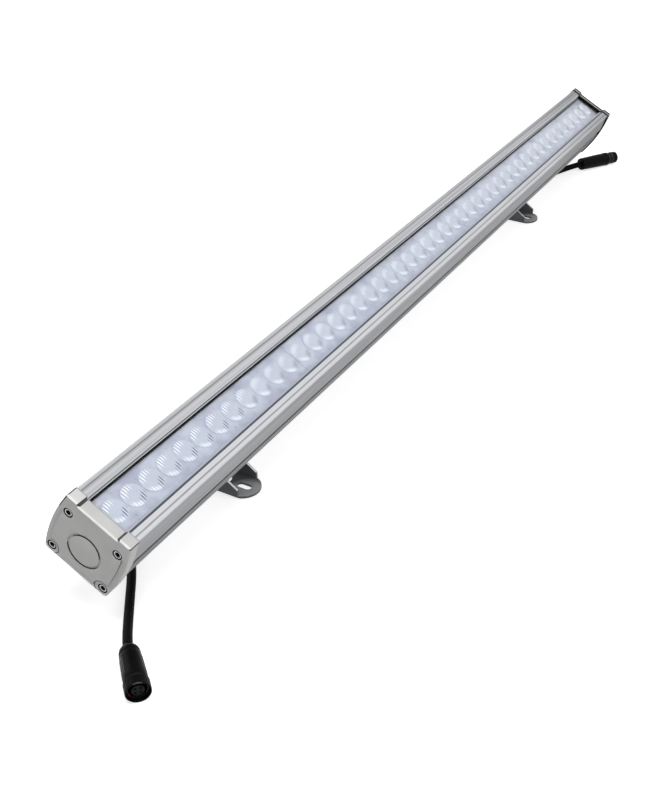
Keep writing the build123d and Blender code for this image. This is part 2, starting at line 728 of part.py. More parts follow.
with BuildPart() as coupling_nut:
    with BuildSketch(socket_plane(SOCKET_BODY + RUN_GAP)):
        Circle(NUT_R - NUT_RIB_R)
        with PolarLocations(NUT_R - NUT_RIB_R, NUT_RIBS):
            Circle(NUT_RIB_R)
    extrude(amount=SOCKET_L - SOCKET_BODY - RUN_GAP)
    with BuildSketch(socket_plane(SOCKET_BODY)):
        Circle(SOCKET_TUBE_R + FIT_GAP)
    extrude(amount=SOCKET_L - SOCKET_BODY, mode=Mode.SUBTRACT)
    with BuildSketch(socket_plane(tube_end - RUN_GAP)):
        Circle(NUT_MOUTH_R)
    extrude(amount=SOCKET_L - tube_end + RUN_GAP, mode=Mode.SUBTRACT)
coupling_nut.part.label = "near_coupling_nut"
export_step(coupling_nut.part, "parts/near_coupling_nut.step")

# Far connector: the plug that fits such a socket
plug_axis = Axis(far_rear, heading_vector(PLUG_HEADING))
ring_seat = PLUG_BODY + PLUG_THREAD


def plug_plane(along):
    return connector_plane(far_rear, PLUG_HEADING, along)


with BuildPart() as plug_body:
    with BuildSketch(profile_plane(plug_axis)):
        with BuildLine():
            Polyline(
                (0, 0),
                (0, PLUG_NECK_R),
                (PLUG_DOME, PLUG_R),
                (PLUG_BODY, PLUG_COLLAR_R),
                (PLUG_BODY, PLUG_THREAD_R),
                (ring_seat, PLUG_THREAD_R),
                (ring_seat, PLUG_SEAT_R),
                (ring_seat + PLUG_SEAT, PLUG_SEAT_R),
                (ring_seat + PLUG_SEAT, PLUG_SPIGOT_R),
                (PLUG_L, PLUG_SPIGOT_R),
                (PLUG_L, 0),
                close=True,
            )
        make_face()
    revolve(axis=plug_axis)
    with BuildSketch(plug_plane(PLUG_L)):
        Circle(PLUG_BORE_R)
    extrude(amount=-PLUG_BORE, mode=Mode.SUBTRACT)
plug_body.part.label = "far_plug_body"
export_step(plug_body.part, "parts/far_plug_body.step")

with BuildPart() as plug_insert:
    with BuildSketch(plug_plane(PLUG_L - PLUG_BORE)):
        Circle(PLUG_BORE_R - SEAT_GAP)
        with contact_spots:
            Circle(PIN_R + FIT_GAP, mode=Mode.SUBTRACT)
    extrude(amount=PLUG_INSERT)
plug_insert.part.label = "far_plug_insert"
export_step(plug_insert.part, "parts/far_plug_insert.step")

with BuildPart() as plug_pins:
    with BuildSketch(plug_plane(PLUG_L - PLUG_BORE)):
        with contact_spots:
            Circle(PIN_R)
    extrude(amount=PIN_L)
plug_pins.part.label = "far_plug_pins"
export_step(plug_pins.part, "parts/far_plug_pins.step")

with BuildPart() as plug_ring:
    with BuildSketch(plug_plane(ring_seat)):
        Circle(PLUG_SEAT_R + RING_CORD)
        Circle(PLUG_SEAT_R, mode=Mode.SUBTRACT)
    extrude(amount=PLUG_SEAT)
plug_ring.part.label = "far_plug_ring"
export_step(plug_ring.part, "parts/far_plug_ring.step")

# Brackets: a carrier slides in the track, and the base turns on the pivot bolt below it
ear_inside = BASE_HALF - SHEET
carrier_out = ear_inside - RUN_GAP
carrier_low = -RUN_GAP - SHEET
for end, way in ends:
    centre = way * bracket_x
    pivot = Plane(origin=(centre, 0, PIVOT_HEIGHT), x_dir=(0, 1, 0), z_dir=(1, 0, 0))
    with BuildPart() as base:
        with BuildSketch(Plane(origin=(centre, 0, 0))):
            SlotOverall(2 * FOOT_REACH, 2 * BASE_HALF, rotation=90)
            with Locations((0, -FOOT_SLOT_Y), (0, FOOT_SLOT_Y)):
                SlotOverall(FOOT_SLOT_L, FOOT_SLOT_W, rotation=90, mode=Mode.SUBTRACT)
            Circle(FOOT_HOLE_R, mode=Mode.SUBTRACT)
        extrude(amount=SHEET)
        for side in (-1, 1):
            with BuildSketch(pivot.offset(side * BASE_HALF)):
                with BuildLine():
                    neck_y, neck_z = EAR_NECK[0], EAR_NECK[1] - PIVOT_HEIGHT
                    reach = math.hypot(neck_y, neck_z)
                    lean = math.atan2(neck_y, -neck_z) - math.asin(EAR_TOP_R / reach)
                    touch = (EAR_TOP_R * math.cos(lean), EAR_TOP_R * math.sin(lean))
                    Polyline(
                        (0, -PIVOT_HEIGHT),
                        (EAR_FOOT_HALF, -PIVOT_HEIGHT),
                        (EAR_FOOT_HALF, EAR_SHOULDER - PIVOT_HEIGHT),
                        (neck_y, neck_z),
                        touch,
                    )
                    ThreePointArc(
                        touch,
                        (EAR_TOP_R * math.sin(math.radians(45)), EAR_TOP_R * math.cos(math.radians(45))),
                        (0, EAR_TOP_R),
                    )
                    mirror(about=Plane.YZ)
                make_face()
                Circle(PIVOT_R + SEAT_GAP, mode=Mode.SUBTRACT)
            extrude(amount=-side * SHEET)
        bends = base.edges().filter_by(Axis.Y).group_by(Axis.Z)[0]
        outer_bends = [edge for edge in bends if abs(abs(edge.center().X - centre) - BASE_HALF) < SEAT_GAP]
        fillet(outer_bends, SHEET * 0.8)
    base.part.label = f"{end}_base"
    export_step(base.part, f"parts/{end}_base.step")

    with BuildPart() as carrier:
        with BuildSketch(lamp.offset(-RUN_GAP)):
            with Locations((centre, 0)):
                Rectangle(2 * carrier_out, 2 * CARRIER_HALF_Y)
                Circle(TRACK_SCREW_R + SEAT_GAP, mode=Mode.SUBTRACT)
        extrude(amount=-SHEET)
        for side in (-1, 1):
            with BuildSketch(section(centre + side * carrier_out)):
                with BuildLine():
                    Line((0, -RUN_GAP), (CARRIER_EAR_R, -RUN_GAP))
                    Line((CARRIER_EAR_R, -RUN_GAP), (CARRIER_EAR_R, -PIVOT_DROP))
                    CenterArc((0, -PIVOT_DROP), CARRIER_EAR_R, 0, -90)
                    mirror(about=Plane.YZ)
                make_face()
                with Locations((0, -PIVOT_DROP)):
                    Circle(PIVOT_R + FIT_GAP, mode=Mode.SUBTRACT)
            extrude(amount=-side * SHEET)
    carrier.part.label = f"{end}_carrier"
    export_step(carrier.part, f"parts/{end}_carrier.step")

    with BuildPart() as t_nut:
        with BuildSketch(lamp.offset(TRACK_LOW + RUN_GAP)):
            with Locations((centre, 0)):
                Rectangle(T_NUT_L, TRACK_WIDTH - 2 * RUN_GAP)
                Circle(TRACK_SCREW_R + FIT_GAP, mode=Mode.SUBTRACT)
        extrude(amount=T_NUT_T)
    t_nut.part.label = f"{end}_t_nut"
    export_step(t_nut.part, f"parts/{end}_t_nut.step")

    with BuildPart() as track_screw:
        with BuildSketch(lamp.offset(carrier_low)):
            with Locations((centre, 0)):
                Circle(TRACK_SCREW_R)
        extrude(amount=TRACK_LOW + RUN_GAP + T_NUT_T - carrier_low)
        with BuildSketch(lamp.offset(carrier_low)):
            with Locations((centre, 0)):
                Circle(TRACK_SCREW_HEAD_R)
        extrude(amount=-TRACK_SCREW_HEAD)
        with BuildSketch(lamp.offset(carrier_low - TRACK_SCREW_HEAD)):
            with Locations((centre, 0)):
                RegularPolygon(HEX_KEY / 2, 6, major_radius=False)
        extrude(amount=TRACK_SCREW_HEAD / 2, mode=Mode.SUBTRACT)
    track_screw.part.label = f"{end}_track_screw"
    export_step(track_screw.part, f"parts/{end}_track_screw.step")

    stack = BASE_HALF + WASHER_T
    with BuildPart() as pivot_bolt:
        with BuildSketch(pivot.offset(-stack)):
            Circle(PIVOT_R)
        extrude(amount=2 * stack + PIVOT_NUT)
        with BuildSketch(pivot.offset(-stack)):
            Circle(PIVOT_HEAD_R)
        extrude(amount=-PIVOT_HEAD)
        with BuildSketch(pivot.offset(-stack - PIVOT_HEAD)):
            RegularPolygon(HEX_KEY / 2, 6, major_radius=False)
        extrude(amount=PIVOT_HEAD / 2, mode=Mode.SUBTRACT)
    pivot_bolt.part.label = f"{end}_pivot_bolt"
    export_step(pivot_bolt.part, f"parts/{end}_pivot_bolt.step")

    with BuildPart() as pivot_washers:
        for start in (-stack, BASE_HALF):
            with BuildSketch(pivot.offset(start)):
                Circle(WASHER_R)
                Circle(PIVOT_R + FIT_GAP, mode=Mode.SUBTRACT)
            extrude(amount=WASHER_T)
    pivot_washers.part.label = f"{end}_pivot_washers"
    export_step(pivot_washers.part, f"parts/{end}_pivot_washers.step")

    with BuildPart() as pivot_nut:
        with BuildSketch(pivot.offset(stack)):
            RegularPolygon(PIVOT_NUT_FLAT / 2, 6, major_radius=False)
            Circle(PIVOT_R + FIT_GAP, mode=Mode.SUBTRACT)
        extrude(amount=PIVOT_NUT)
    pivot_nut.part.label = f"{end}_pivot_nut"
    export_step(pivot_nut.part, f"parts/{end}_pivot_nut.step")
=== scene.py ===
"""Wall washer light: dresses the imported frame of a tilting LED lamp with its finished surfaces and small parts."""
import math

import bpy
from bpy.props import FloatProperty, IntProperty, PointerProperty, StringProperty
from mathutils import Matrix, Vector


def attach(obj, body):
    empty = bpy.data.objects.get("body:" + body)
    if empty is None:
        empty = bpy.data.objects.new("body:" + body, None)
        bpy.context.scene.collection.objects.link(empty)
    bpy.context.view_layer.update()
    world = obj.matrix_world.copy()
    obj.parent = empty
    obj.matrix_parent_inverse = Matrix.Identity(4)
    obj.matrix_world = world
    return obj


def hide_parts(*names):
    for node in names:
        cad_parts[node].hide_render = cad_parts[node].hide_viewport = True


bl_info = {
    "name": "Wall Washer Light",
    "version": (1, 0, 0),
    "blender": (4, 5, 0),
    "location": "View3D > Sidebar > Wall Washer",
    "description": "Builds a tilting LED wall washer light round its packed frame",
    "category": "Object",
}

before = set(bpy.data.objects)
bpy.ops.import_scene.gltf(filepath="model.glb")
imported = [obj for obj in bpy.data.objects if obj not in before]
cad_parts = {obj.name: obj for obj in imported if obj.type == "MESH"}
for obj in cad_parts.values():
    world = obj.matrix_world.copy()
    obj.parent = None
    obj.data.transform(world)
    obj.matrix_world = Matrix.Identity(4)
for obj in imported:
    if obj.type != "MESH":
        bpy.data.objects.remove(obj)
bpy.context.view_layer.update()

MM = 0.001

# The lamp's own frame: y across it, z up from its underside, turned about the tilt axis
TILT = math.radians(27.7)
PIVOT_HEIGHT = 33.4
PIVOT_DROP = 12.0
LAMP = (
    Matrix.Translation((0, 0, PIVOT_HEIGHT * MM))
    @ Matrix.Rotation(TILT, 4, "X")
    @ Matrix.Translation((0, 0, PIVOT_DROP * MM))
)
LEVEL = LAMP.inverted()

# Cable routes, in mm: gland mouth, straight exit, bends down to the floor, straight run into the connector
GLAND_X = 420.0
GLAND_MOUTH = -13.0
CABLE_STRAIGHT = 12.0
CONNECTOR_STRAIGHT = 6.0
NEAR_POINTS = (
    (-425.5, 7.0, 10.2),
    (-436.0, 0.0, 4.1),
    (-452.0, -13.0, 3.8),
    (-471.4, -26.4, 3.7),
    (-489.0, -38.8, 4.6),
)
FAR_POINTS = (
    (426.0, 7.5, 10.4),
    (437.5, 5.0, 4.2),
    (455.0, 1.0, 3.8),
    (470.0, -4.5, 3.7),
    (481.5, -11.2, 5.2),
)
SOCKET_REAR = Vector((-515.8, -60.2, 9.3))
SOCKET_HEADING = math.radians(226.8)
PLUG_REAR = Vector((500.4, -26.9, 8.7))
PLUG_HEADING = math.radians(-32.4)

# Lens row
BOARDS = 4
LEDS_PER_BOARD = 12
LED_PITCH = 20.4
PLATE_LOW = 49.6
PLATE_TOP = 51.2
PLATE_HALF = 15.9
PLATE_GAP = 0.3
BOARD_TOP = 37.6
PEG_Y = 11.5

# Angles round a lens, in degrees: middle and spread of the ribs at its rear and its front, which carry painted light
# and shade, and of a painted glint
REAR_RIBS = (112, 68)
FRONT_RIBS = (-46, 44)
GLINT = (-115, 44)

# Housing: inner bevels of the rails, the ledge at the foot of the front one, the slopes of the recessed band in each
# flank, and how much a bevel or slope faces up
BEVEL_FOOT = 56.6
BEVEL_IN = 17.2
BEVEL_OUT = 19.2
LEDGE_IN = 16.4
LEDGE_FOOT = 55.7
SLOPE_IN = 29.9
SLOPE_OUT = 31.1
BAND_LOW = 29.9
BAND_HIGH = 40.1
SLANT_LOW = 0.3
SLANT_HIGH = 0.9

# Lines along the housing: drawn line of each rail, inner edge of the front rail, start of the painted shade at the far
# joint
RAIL_LINE_Y = 24.2
RAIL_EDGE_Y = 19.5
JOINT_SHADE_X = 484.0

# End caps: places of the screws across the lamp with the depth of their seats, the notches at the top, the ring groove,
# the shallow step, and how deep below a face its surface ends
LENGTH = 1000.0
SCREW_SPOTS = ((-22.0, 45.0, 4.3), (22.0, 45.0, 4.3), (-23.6, 2.6, 5.4), (23.6, 2.6, 5.4))
BORE_R = 4.0
BORE_MARGIN = 1.02
NOTCH_IN = 16.4
NOTCH_OUT = 18.8
NOTCH_FOOT = 57.0
RING_Z = 23.0
RING_R = 14.6
RING_W = 1.9
RING_DEPTH = 1.3
RING_CLEAR = 4.0
RING_MARGIN = 0.2
RING_KEEP = 1.0
STEP_DEPTH = 1.1
STEP_R = 7.0
STEP_Z = 1.3
STEP_OUT = 28.0
STEP_LOW = 0.5
STEP_HIGH = 45.0
FACE_DEPTH = 0.1

# How far faces of the caps turn, as a part of their normal: towards the end and up at front edges, to a side, away from
# the end at walls, up at the top edge, towards the end at its face, and to a side on the far cap and at its foot
EDGE_TURN = 0.3
SIDE_TURN = 0.4
WALL_TURN = 0.5
TOP_TURN = 0.2
END_TURN = 0.9
FAR_TURN = 0.7
FAR_FOOT_TURN = 0.2

# Heights on the caps: painted shade on edges begins above the first or below the second, and the foot of the far one
# ends
HUMP_FOOT = 12.0
CORNER_TOP = 10.0
FAR_FOOT = 6.0

# Lines scored on the end caps: the dark band and the seam of the far one by their depth, the lines of the near one by
# their height or their place across
FAR_BAND = 5.2
FAR_SEAM = 7.0
FLANK_LOW = 4.5
FLANK_HIGH = 57.3
TOP_EDGE = 27.4

# Cap screws: height of the head, the bright flat of its top between the hexagon and the chamfer, and the hexagon: half
# its width, the length of its cutter and the height of the middle of that
HEAD_TOP = 4.0
FLAT_IN = 1.85
FLAT_OUT = 3.1
HEX_HALF = 1.8
HEX_DEEP = 4.4
HEX_MIDDLE = 4.2

# Glands: the fluted part of the clamping nut, from its low end to its high end
FLUTES = (-8.0, -3.3)

# Connectors, along their axis: grip bars of the socket with its radius at both ends, its joint with the nut, grip ribs
# and rim of the nut with the top of the rim, which has a painted glint, grip grooves of the plug and the two turns of
# its thread that are polished and painted lighter as a highlight
BARS = (12.0, 28.0)
BAR_R = (7.86, 8.4)
BAR_RISE = 0.12
SOCKET_JOINT = 32.6
RIBS = (34.8, 40.8)
NUT_RIM = 41.7
NUT_RIM_R = 8.25
RIM_TOP = 0.94
GROOVES = (12.0, 34.0)
HIGHLIGHT_TURNS = ((44.5, 45.8), (49.0, 50.3))
INNER_R = 7.0

# Brackets: distance of each foot from the middle of the lamp, and a height just above the sheet
BRACKET_X = 315.0
SHEET_TOP = 2.6

# Points closer than this are merged
MERGE = 0.002

# View of the photograph, in metres
VIEW_FROM = (-0.94251, -0.45800, 0.57276)
VIEW_ALONG = (0.731325, 0.417959, -0.538956)
VIEW_SENSOR = 36.0
VIEW_LENS = 51.78

# Colours that more than one piece has
WHITE = (1, 1, 1, 1)
BEAD_AND_REFLECTION_GREY = "#B9BEC9"
HIGHLIGHT_BLACK = "#2A2B2E"
INSERT_BLACK = "#181C1A"
BRASS = "#D2B574"
STEEL = "#D4D5D7"

ENDS = (("near", -1), ("far", 1))


def linear(code):
    """Linear colour with alpha from an sRGB hex value."""
    parts = [int(code[i : i + 2], 16) / 255 for i in (1, 3, 5)]
    return tuple(c / 12.92 if c <= 0.04045 else ((c + 0.055) / 1.055) ** 2.4 for c in parts) + (1.0,)


def above_axis(height):
    """Height above the tilt axis, in metres, of a height above the lamp's underside in mm."""
    return (PIVOT_DROP + height) * MM


def add_node(tree, kind, settings=None, inputs=None, links=None):
    """Adds a node, sets its properties and input values, and links sockets, or the outputs in use of nodes, to it."""
    made = tree.nodes.new(kind)
    for key, value in (settings or {}).items():
        setattr(made, key, value)
    for key, value in (inputs or {}).items():
        made.inputs[key].default_value = value
    for key, source in (links or {}).items():
        if isinstance(source, bpy.types.Node):
            source = next(socket for socket in source.outputs if socket.enabled)
        tree.links.new(source, made.inputs[key])
    return made


def start_material(name):
    """New material with an empty node tree."""
    made = bpy.data.materials.new(name)
    made.use_nodes = True
    made.node_tree.nodes.clear()
    return made, made.node_tree


def mottled(name, grain, noise, dark, light, stretch=None, contrast=None):
    """Starts a material whose colour runs from dark to light over noise with grains of a size in mm.

    Stretch scales the coordinates, and contrast gives the two noise values that the colours lie at. Returns the
    material, its tree, its coordinates, the noise and the colour.
    """
    made, tree = start_material(name)
    where = add_node(tree, "ShaderNodeTexCoord").outputs["Object"]
    drawn = where
    if stretch:
        drawn = add_node(tree, "ShaderNodeMapping", None, {"Scale": stretch}, {"Vector": where})
    fleck = add_node(tree, "ShaderNodeTexNoise", None, {"Scale": 1 / (grain * MM), **noise}, {"Vector": drawn})
    share = fleck
    if contrast:
        low, high = contrast
        share = add_node(tree, "ShaderNodeMapRange", None, {"From Min": low, "From Max": high}, {"Value": fleck})
    colours = {6: linear(dark), 7: linear(light)}
    tone = add_node(tree, "ShaderNodeMix", {"data_type": "RGBA"}, colours, {0: share})
    return made, tree, where, fleck, tone


def solder_mask(name, mask, copper, offset, rows):
    """Starts a material for a board: a mask over rows of copper paths, which run along the lamp.

    Returns the material, its tree, the paths and the colour.
    """
    made, tree = start_material(name)
    where = add_node(tree, "ShaderNodeTexCoord").outputs["Object"]
    turn = {"Rotation": (TILT, 0, 0)}
    level = add_node(tree, "ShaderNodeMapping", {"vector_type": "TEXTURE"}, turn, {"Vector": where})
    paths = add_node(tree, "ShaderNodeTexBrick", {"offset": offset}, rows, {"Vector": level}).outputs["Fac"]
    colours = {6: linear(mask), 7: linear(copper)}
    tone = add_node(tree, "ShaderNodeMix", {"data_type": "RGBA"}, colours, {0: paths})
    return made, tree, paths, tone


def lamp_parts(tree, where):
    """Coordinates X along the lamp, Y across it and Z up from the tilt axis."""
    turn = {"Location": (0, 0, PIVOT_HEIGHT * MM), "Rotation": (TILT, 0, 0)}
    level = add_node(tree, "ShaderNodeMapping", {"vector_type": "TEXTURE"}, turn, {"Vector": where})
    return add_node(tree, "ShaderNodeSeparateXYZ", None, None, {"Vector": level}).outputs


def finish(made, tree, tone=None, fleck=None, gloss=None, bump=None, coats=(), values=None):
    """Ends a material: lays coats over its colour, each by its share, and takes gloss and bumps from its noise.

    Gloss gives the roughness at the two ends of the noise, bump a strength and a height in mm, and values what the
    shader has all over.
    """
    for code, share in coats:
        tone = add_node(tree, "ShaderNodeMix", {"data_type": "RGBA"}, {7: linear(code)}, {0: share, 6: tone})
    links = {}
    if tone is not None:
        links["Base Color"] = tone
    if gloss:
        ends = {"To Min": gloss[0], "To Max": gloss[1]}
        links["Roughness"] = add_node(tree, "ShaderNodeMapRange", None, ends, {"Value": fleck})
    if bump:
        rise = {"Strength": bump[0], "Distance": bump[1] * MM}
        links["Normal"] = add_node(tree, "ShaderNodeBump", None, rise, {"Height": fleck})
    skin = add_node(tree, "ShaderNodeBsdfPrincipled", None, values, links)
    add_node(tree, "ShaderNodeOutputMaterial", None, None, {"Surface": skin})
    return made


def satin_anodising(code):
    """Extruded aluminium with a satin anodised skin."""
    # A pale satin grey, streaked along the lamp by the die that it was drawn through, with a painted highlight on top
    # of the front rail, and painted shade towards the plug end and low on the flanks
    # Die lines are about 0.1 mm apart; they are drawn 1.4 mm apart so that they show
    made, tree, where, lines, tone = mottled(
        "satin_anodising", 1.4, {"Detail": 5.0, "Roughness": 0.6}, "#A9AAAD", code, (0.004, 1, 1), (0.3, 0.65)
    )
    parts = lamp_parts(tree, where)
    # Painted highlight: the top of the front rail is made paler, for the light that it catches
    rail = {"From Min": -16 * MM, "From Max": -20 * MM}
    front = add_node(tree, "ShaderNodeMapRange", None, rail, {"Value": parts["Y"]})
    roof = {"From Min": above_axis(56.0), "From Max": above_axis(58.2)}
    top = add_node(tree, "ShaderNodeMapRange", None, roof, {"Value": parts["Z"]})
    front_highlight = add_node(tree, "ShaderNodeMath", {"operation": "MULTIPLY"}, None, {0: front, 1: top})
    # Painted shade along the drawn line of each rail, 0.6 mm wide and shown at 1.4 mm
    side = add_node(tree, "ShaderNodeMath", {"operation": "ABSOLUTE"}, None, {0: parts["Y"]})
    line = add_node(tree, "ShaderNodeMath", {"operation": "COMPARE"}, {1: RAIL_LINE_Y * MM, 2: 0.7 * MM}, {0: side})
    rail_line_shade = add_node(tree, "ShaderNodeMath", {"operation": "MULTIPLY"}, {1: 0.55}, {0: line})
    # Painted shade also runs along the inner edge of the front rail, beside its pale bevel
    inner = {1: -RAIL_EDGE_Y * MM, 2: 0.45 * MM}
    brink = add_node(tree, "ShaderNodeMath", {"operation": "COMPARE"}, inner, {0: parts["Y"]})
    rail_edge_shade = add_node(tree, "ShaderNodeMath", {"operation": "MULTIPLY"}, None, {0: brink, 1: top})
    # Painted shade: darker towards the plug end, and low on the flanks
    plug_end = {"From Min": 300 * MM, "From Max": 490 * MM, "To Max": 0.5}
    plug_end_shade = add_node(tree, "ShaderNodeMapRange", None, plug_end, {"Value": parts["X"]})
    flanks = {"From Min": above_axis(32), "From Max": above_axis(28), "To Max": 0.5}
    low_flank_shade = add_node(tree, "ShaderNodeMapRange", None, flanks, {"Value": parts["Z"]})
    # Painted shade: the flanks turn black beside the joint with the far cap
    joint = add_node(tree, "ShaderNodeMath", {"operation": "GREATER_THAN"}, {1: JOINT_SHADE_X * MM}, {0: parts["X"]})
    roof_edge = {1: above_axis(FLANK_HIGH)}
    below = add_node(tree, "ShaderNodeMath", {"operation": "LESS_THAN"}, roof_edge, {0: parts["Z"]})
    joint_shade = add_node(tree, "ShaderNodeMath", {"operation": "MULTIPLY"}, None, {0: joint, 1: below})
    coats = (
        ("#CFD0D4", front_highlight),
        ("#8C8D90", rail_line_shade),
        ("#4A4E58", rail_edge_shade),
        ("#8A8C90", plug_end_shade),
        ("#8A8B8D", low_flank_shade),
        ("#0C0C0D", joint_shade),
    )
    values = {"Metallic": 0.08, "Specular IOR Level": 0.0}
    return finish(made, tree, tone, lines, (0.46, 0.6), (0.25, 0.04), coats, values)


def rubbed_and_lit_anodising(code):
    """Inner bevel of the rear rail, where the glass is slid in and rubs the anodising.

    It is painted lighter than the rail, for the light that it catches.
    """
    # A light grey with long scuffs along the lamp, and painted shade in a dark line at the foot of the bevel
    # Scuffs are a few hundredths of a millimetre wide; they are drawn 0.8 mm wide so that they show
    made, tree, where, scuffs, tone = mottled(
        "rubbed_and_lit_anodising", 0.8, {"Detail": 4.0}, "#B9BBC1", code, (0.01, 1, 1)
    )
    parts = lamp_parts(tree, where)
    rise = {"From Min": above_axis(BEVEL_FOOT + 0.3), "From Max": above_axis(BEVEL_FOOT + 0.8)}
    foot = add_node(tree, "ShaderNodeMapRange", None, rise, {"Value": parts["Z"]})
    bevel_foot_shade = add_node(tree, "ShaderNodeMix", {"data_type": "RGBA"}, {6: linear("#2E3034")}, {0: foot, 7: tone})
    return finish(made, tree, bevel_foot_shade, scuffs, (0.45, 0.6), values={"Specular IOR Level": 0.1})


def step_shade_anodising(code):
    """Anodising in the steps of the flanks, painted dark as the shade that falls there."""
    # A dull dark grey line, uneven along the lamp
    made, tree, _, painted_shade, tone = mottled(
        "step_shade_anodising", 2, {"Detail": 4.0}, "#565759", code, (0.05, 1, 1)
    )
    return finish(made, tree, tone, painted_shade, (0.55, 0.75), values={"Specular IOR Level": 0.1})


def powder_coated_casting(code):
    """Die cast aluminium with a grey powder coat."""
    # A dull even grey with a fine grit, a shade cloudy where the coat is thicker
    made, tree, where, _, tone = mottled("powder_coated_casting", 18, {"Detail": 2.0}, "#BCBCBB", code)
    # Powder grit is about 0.1 mm; it is drawn at 0.7 mm so that it shows
    powder = {"Scale": 1 / (0.7 * MM), "Detail": 3.0, "Roughness": 0.7}
    grit = add_node(tree, "ShaderNodeTexNoise", None, powder, {"Vector": where})
    # Painted shade in the corner of the shallow step round the lower screws and along the foot, drawn 0.9 mm wide
    parts = lamp_parts(tree, where)
    side = add_node(tree, "ShaderNodeMath", {"operation": "ABSOLUTE"}, None, {0: parts["Y"]})
    spot = add_node(tree, "ShaderNodeCombineXYZ", None, None, {"Y": side, "Z": parts["Z"]})
    y, z, _ = SCREW_SPOTS[-1]
    boss = {1: (0, y * MM, above_axis(z))}
    away = add_node(tree, "ShaderNodeVectorMath", {"operation": "DISTANCE"}, boss, {0: spot})
    arc = add_node(tree, "ShaderNodeMath", {"operation": "COMPARE"}, {1: STEP_R * MM, 2: 0.45 * MM}, {0: away})
    inside = add_node(tree, "ShaderNodeMath", {"operation": "LESS_THAN"}, {1: 26 * MM}, {0: side})
    bosses = add_node(tree, "ShaderNodeMath", {"operation": "MULTIPLY"}, None, {0: arc, 1: inside})
    ledge = {1: above_axis(STEP_Z), 2: 0.35 * MM}
    foot = add_node(tree, "ShaderNodeMath", {"operation": "COMPARE"}, ledge, {0: parts["Z"]})
    between = add_node(tree, "ShaderNodeMath", {"operation": "LESS_THAN"}, {1: 17 * MM}, {0: side})
    edge = add_node(tree, "ShaderNodeMath", {"operation": "MULTIPLY"}, None, {0: foot, 1: between})
    faint = add_node(tree, "ShaderNodeMath", {"operation": "MULTIPLY"}, {1: 0.4}, {0: edge})
    painted_shade = add_node(tree, "ShaderNodeMath", {"operation": "MAXIMUM"}, None, {0: bosses, 1: faint})
    # Painted highlight: the coat is paler along the foot and on top of the rear hump
    sole = {"From Min": above_axis(1.2), "From Max": above_axis(0.4), "To Max": 0.45}
    low = add_node(tree, "ShaderNodeMapRange", None, sole, {"Value": parts["Z"]})
    rear = add_node(
        tree, "ShaderNodeMapRange", None, {"From Min": 16 * MM, "From Max": 18 * MM}, {"Value": parts["Y"]}
    )
    crest = {"From Min": above_axis(58.6), "From Max": above_axis(59.0), "To Max": 0.4}
    high = add_node(tree, "ShaderNodeMapRange", None, crest, {"Value": parts["Z"]})
    hump = add_node(tree, "ShaderNodeMath", {"operation": "MULTIPLY"}, None, {0: rear, 1: high})
    painted_highlight = add_node(tree, "ShaderNodeMath", {"operation": "MAXIMUM"}, None, {0: low, 1: hump})
    return finish(made, tree, tone, grit, (0.5, 0.66), (0.3, 0.05), (("#EAEAE9", painted_highlight), ("#5E5F5E", painted_shade)))


def bare_edge_highlight(code):
    """Upper front edge of the near cap: a painted highlight, drawn as bare metal where the coat is gone."""
    # A painted highlight: a bright metal line along the edge, duller where some of the coat is left
    made, tree, _, wear, tone = mottled("bare_edge_highlight", 6, {"Detail": 3.0}, "#D8D8D6", code)
    return finish(made, tree, tone, wear, (0.3, 0.5), values={"Metallic": 0.9})


def painted_recess_shade(code):
    """Painted shade in the notches, bores, ring groove and step of the end caps, and on some of their edges."""
    # A dark grey skin, matt and slightly uneven
    made, tree, _, smears, tone = mottled("painted_recess_shade", 1.8, {"Detail": 3.0}, "#1C1D1B", code)
    return finish(made, tree, tone, smears, bump=(0.4, 0.08), values={"Roughness": 0.6})


def sheet_silicone(code):
    """Die cut silicone sheet of the gasket behind the near cap."""
    # A matt grey close to the coat of the caps, with a soft mottle
    made, tree, _, mottle, tone = mottled("sheet_silicone", 2, {"Detail": 4.0}, "#9A9A99", code)
    return finish(made, tree, tone, mottle, (0.6, 0.8))


def pale_silicone_and_reflection(code):
    """Extruded silicone of the front glass strip.

    The same pale colour on the front bevel of the rail is a painted reflection of the lens area.
    """
    # A pale milky grey that is hard to tell from the lens plate beside it
    made, tree, where, haze, tone = mottled("pale_silicone_and_reflection", 5, {"Detail": 3.0}, "#A9AFBC", code)
    # Painted shade on the upper half, along the edge of the rail
    brow = {"From Min": above_axis(57.2), "From Max": above_axis(57.6)}
    edge = add_node(tree, "ShaderNodeMapRange", None, brow, {"Value": lamp_parts(tree, where)["Z"]})
    return finish(made, tree, tone, haze, (0.4, 0.55), coats=(("#4A4E58", edge),))


def rubber_and_painted_shade(code):
    """Extruded and moulded rubber of the rear glass strip, gland seals and plug ring.

    The same black is painted shade on the far gasket, the far cap, edges of the near cap, the joint rings of the socket
    and its seal.
    """
    # Almost black and matt, with a soft mottle
    made, tree, _, mottle, tone = mottled("rubber_and_painted_shade", 2, {"Detail": 4.0}, "#030303", code)
    return finish(made, tree, tone, mottle, (0.65, 0.85), (0.3, 0.03), values={"Specular IOR Level": 0.15})


def cable_rubber(code):
    """Extruded rubber sheath of the leads."""
    # Deep black with a faint dull sheen and a talc mottle
    made, tree, _, talc, tone = mottled("cable_rubber", 3, {"Detail": 5.0}, "#040404", code)
    return finish(made, tree, tone, talc, (0.5, 0.68), (0.25, 0.04), values={"Specular IOR Level": 0.05})


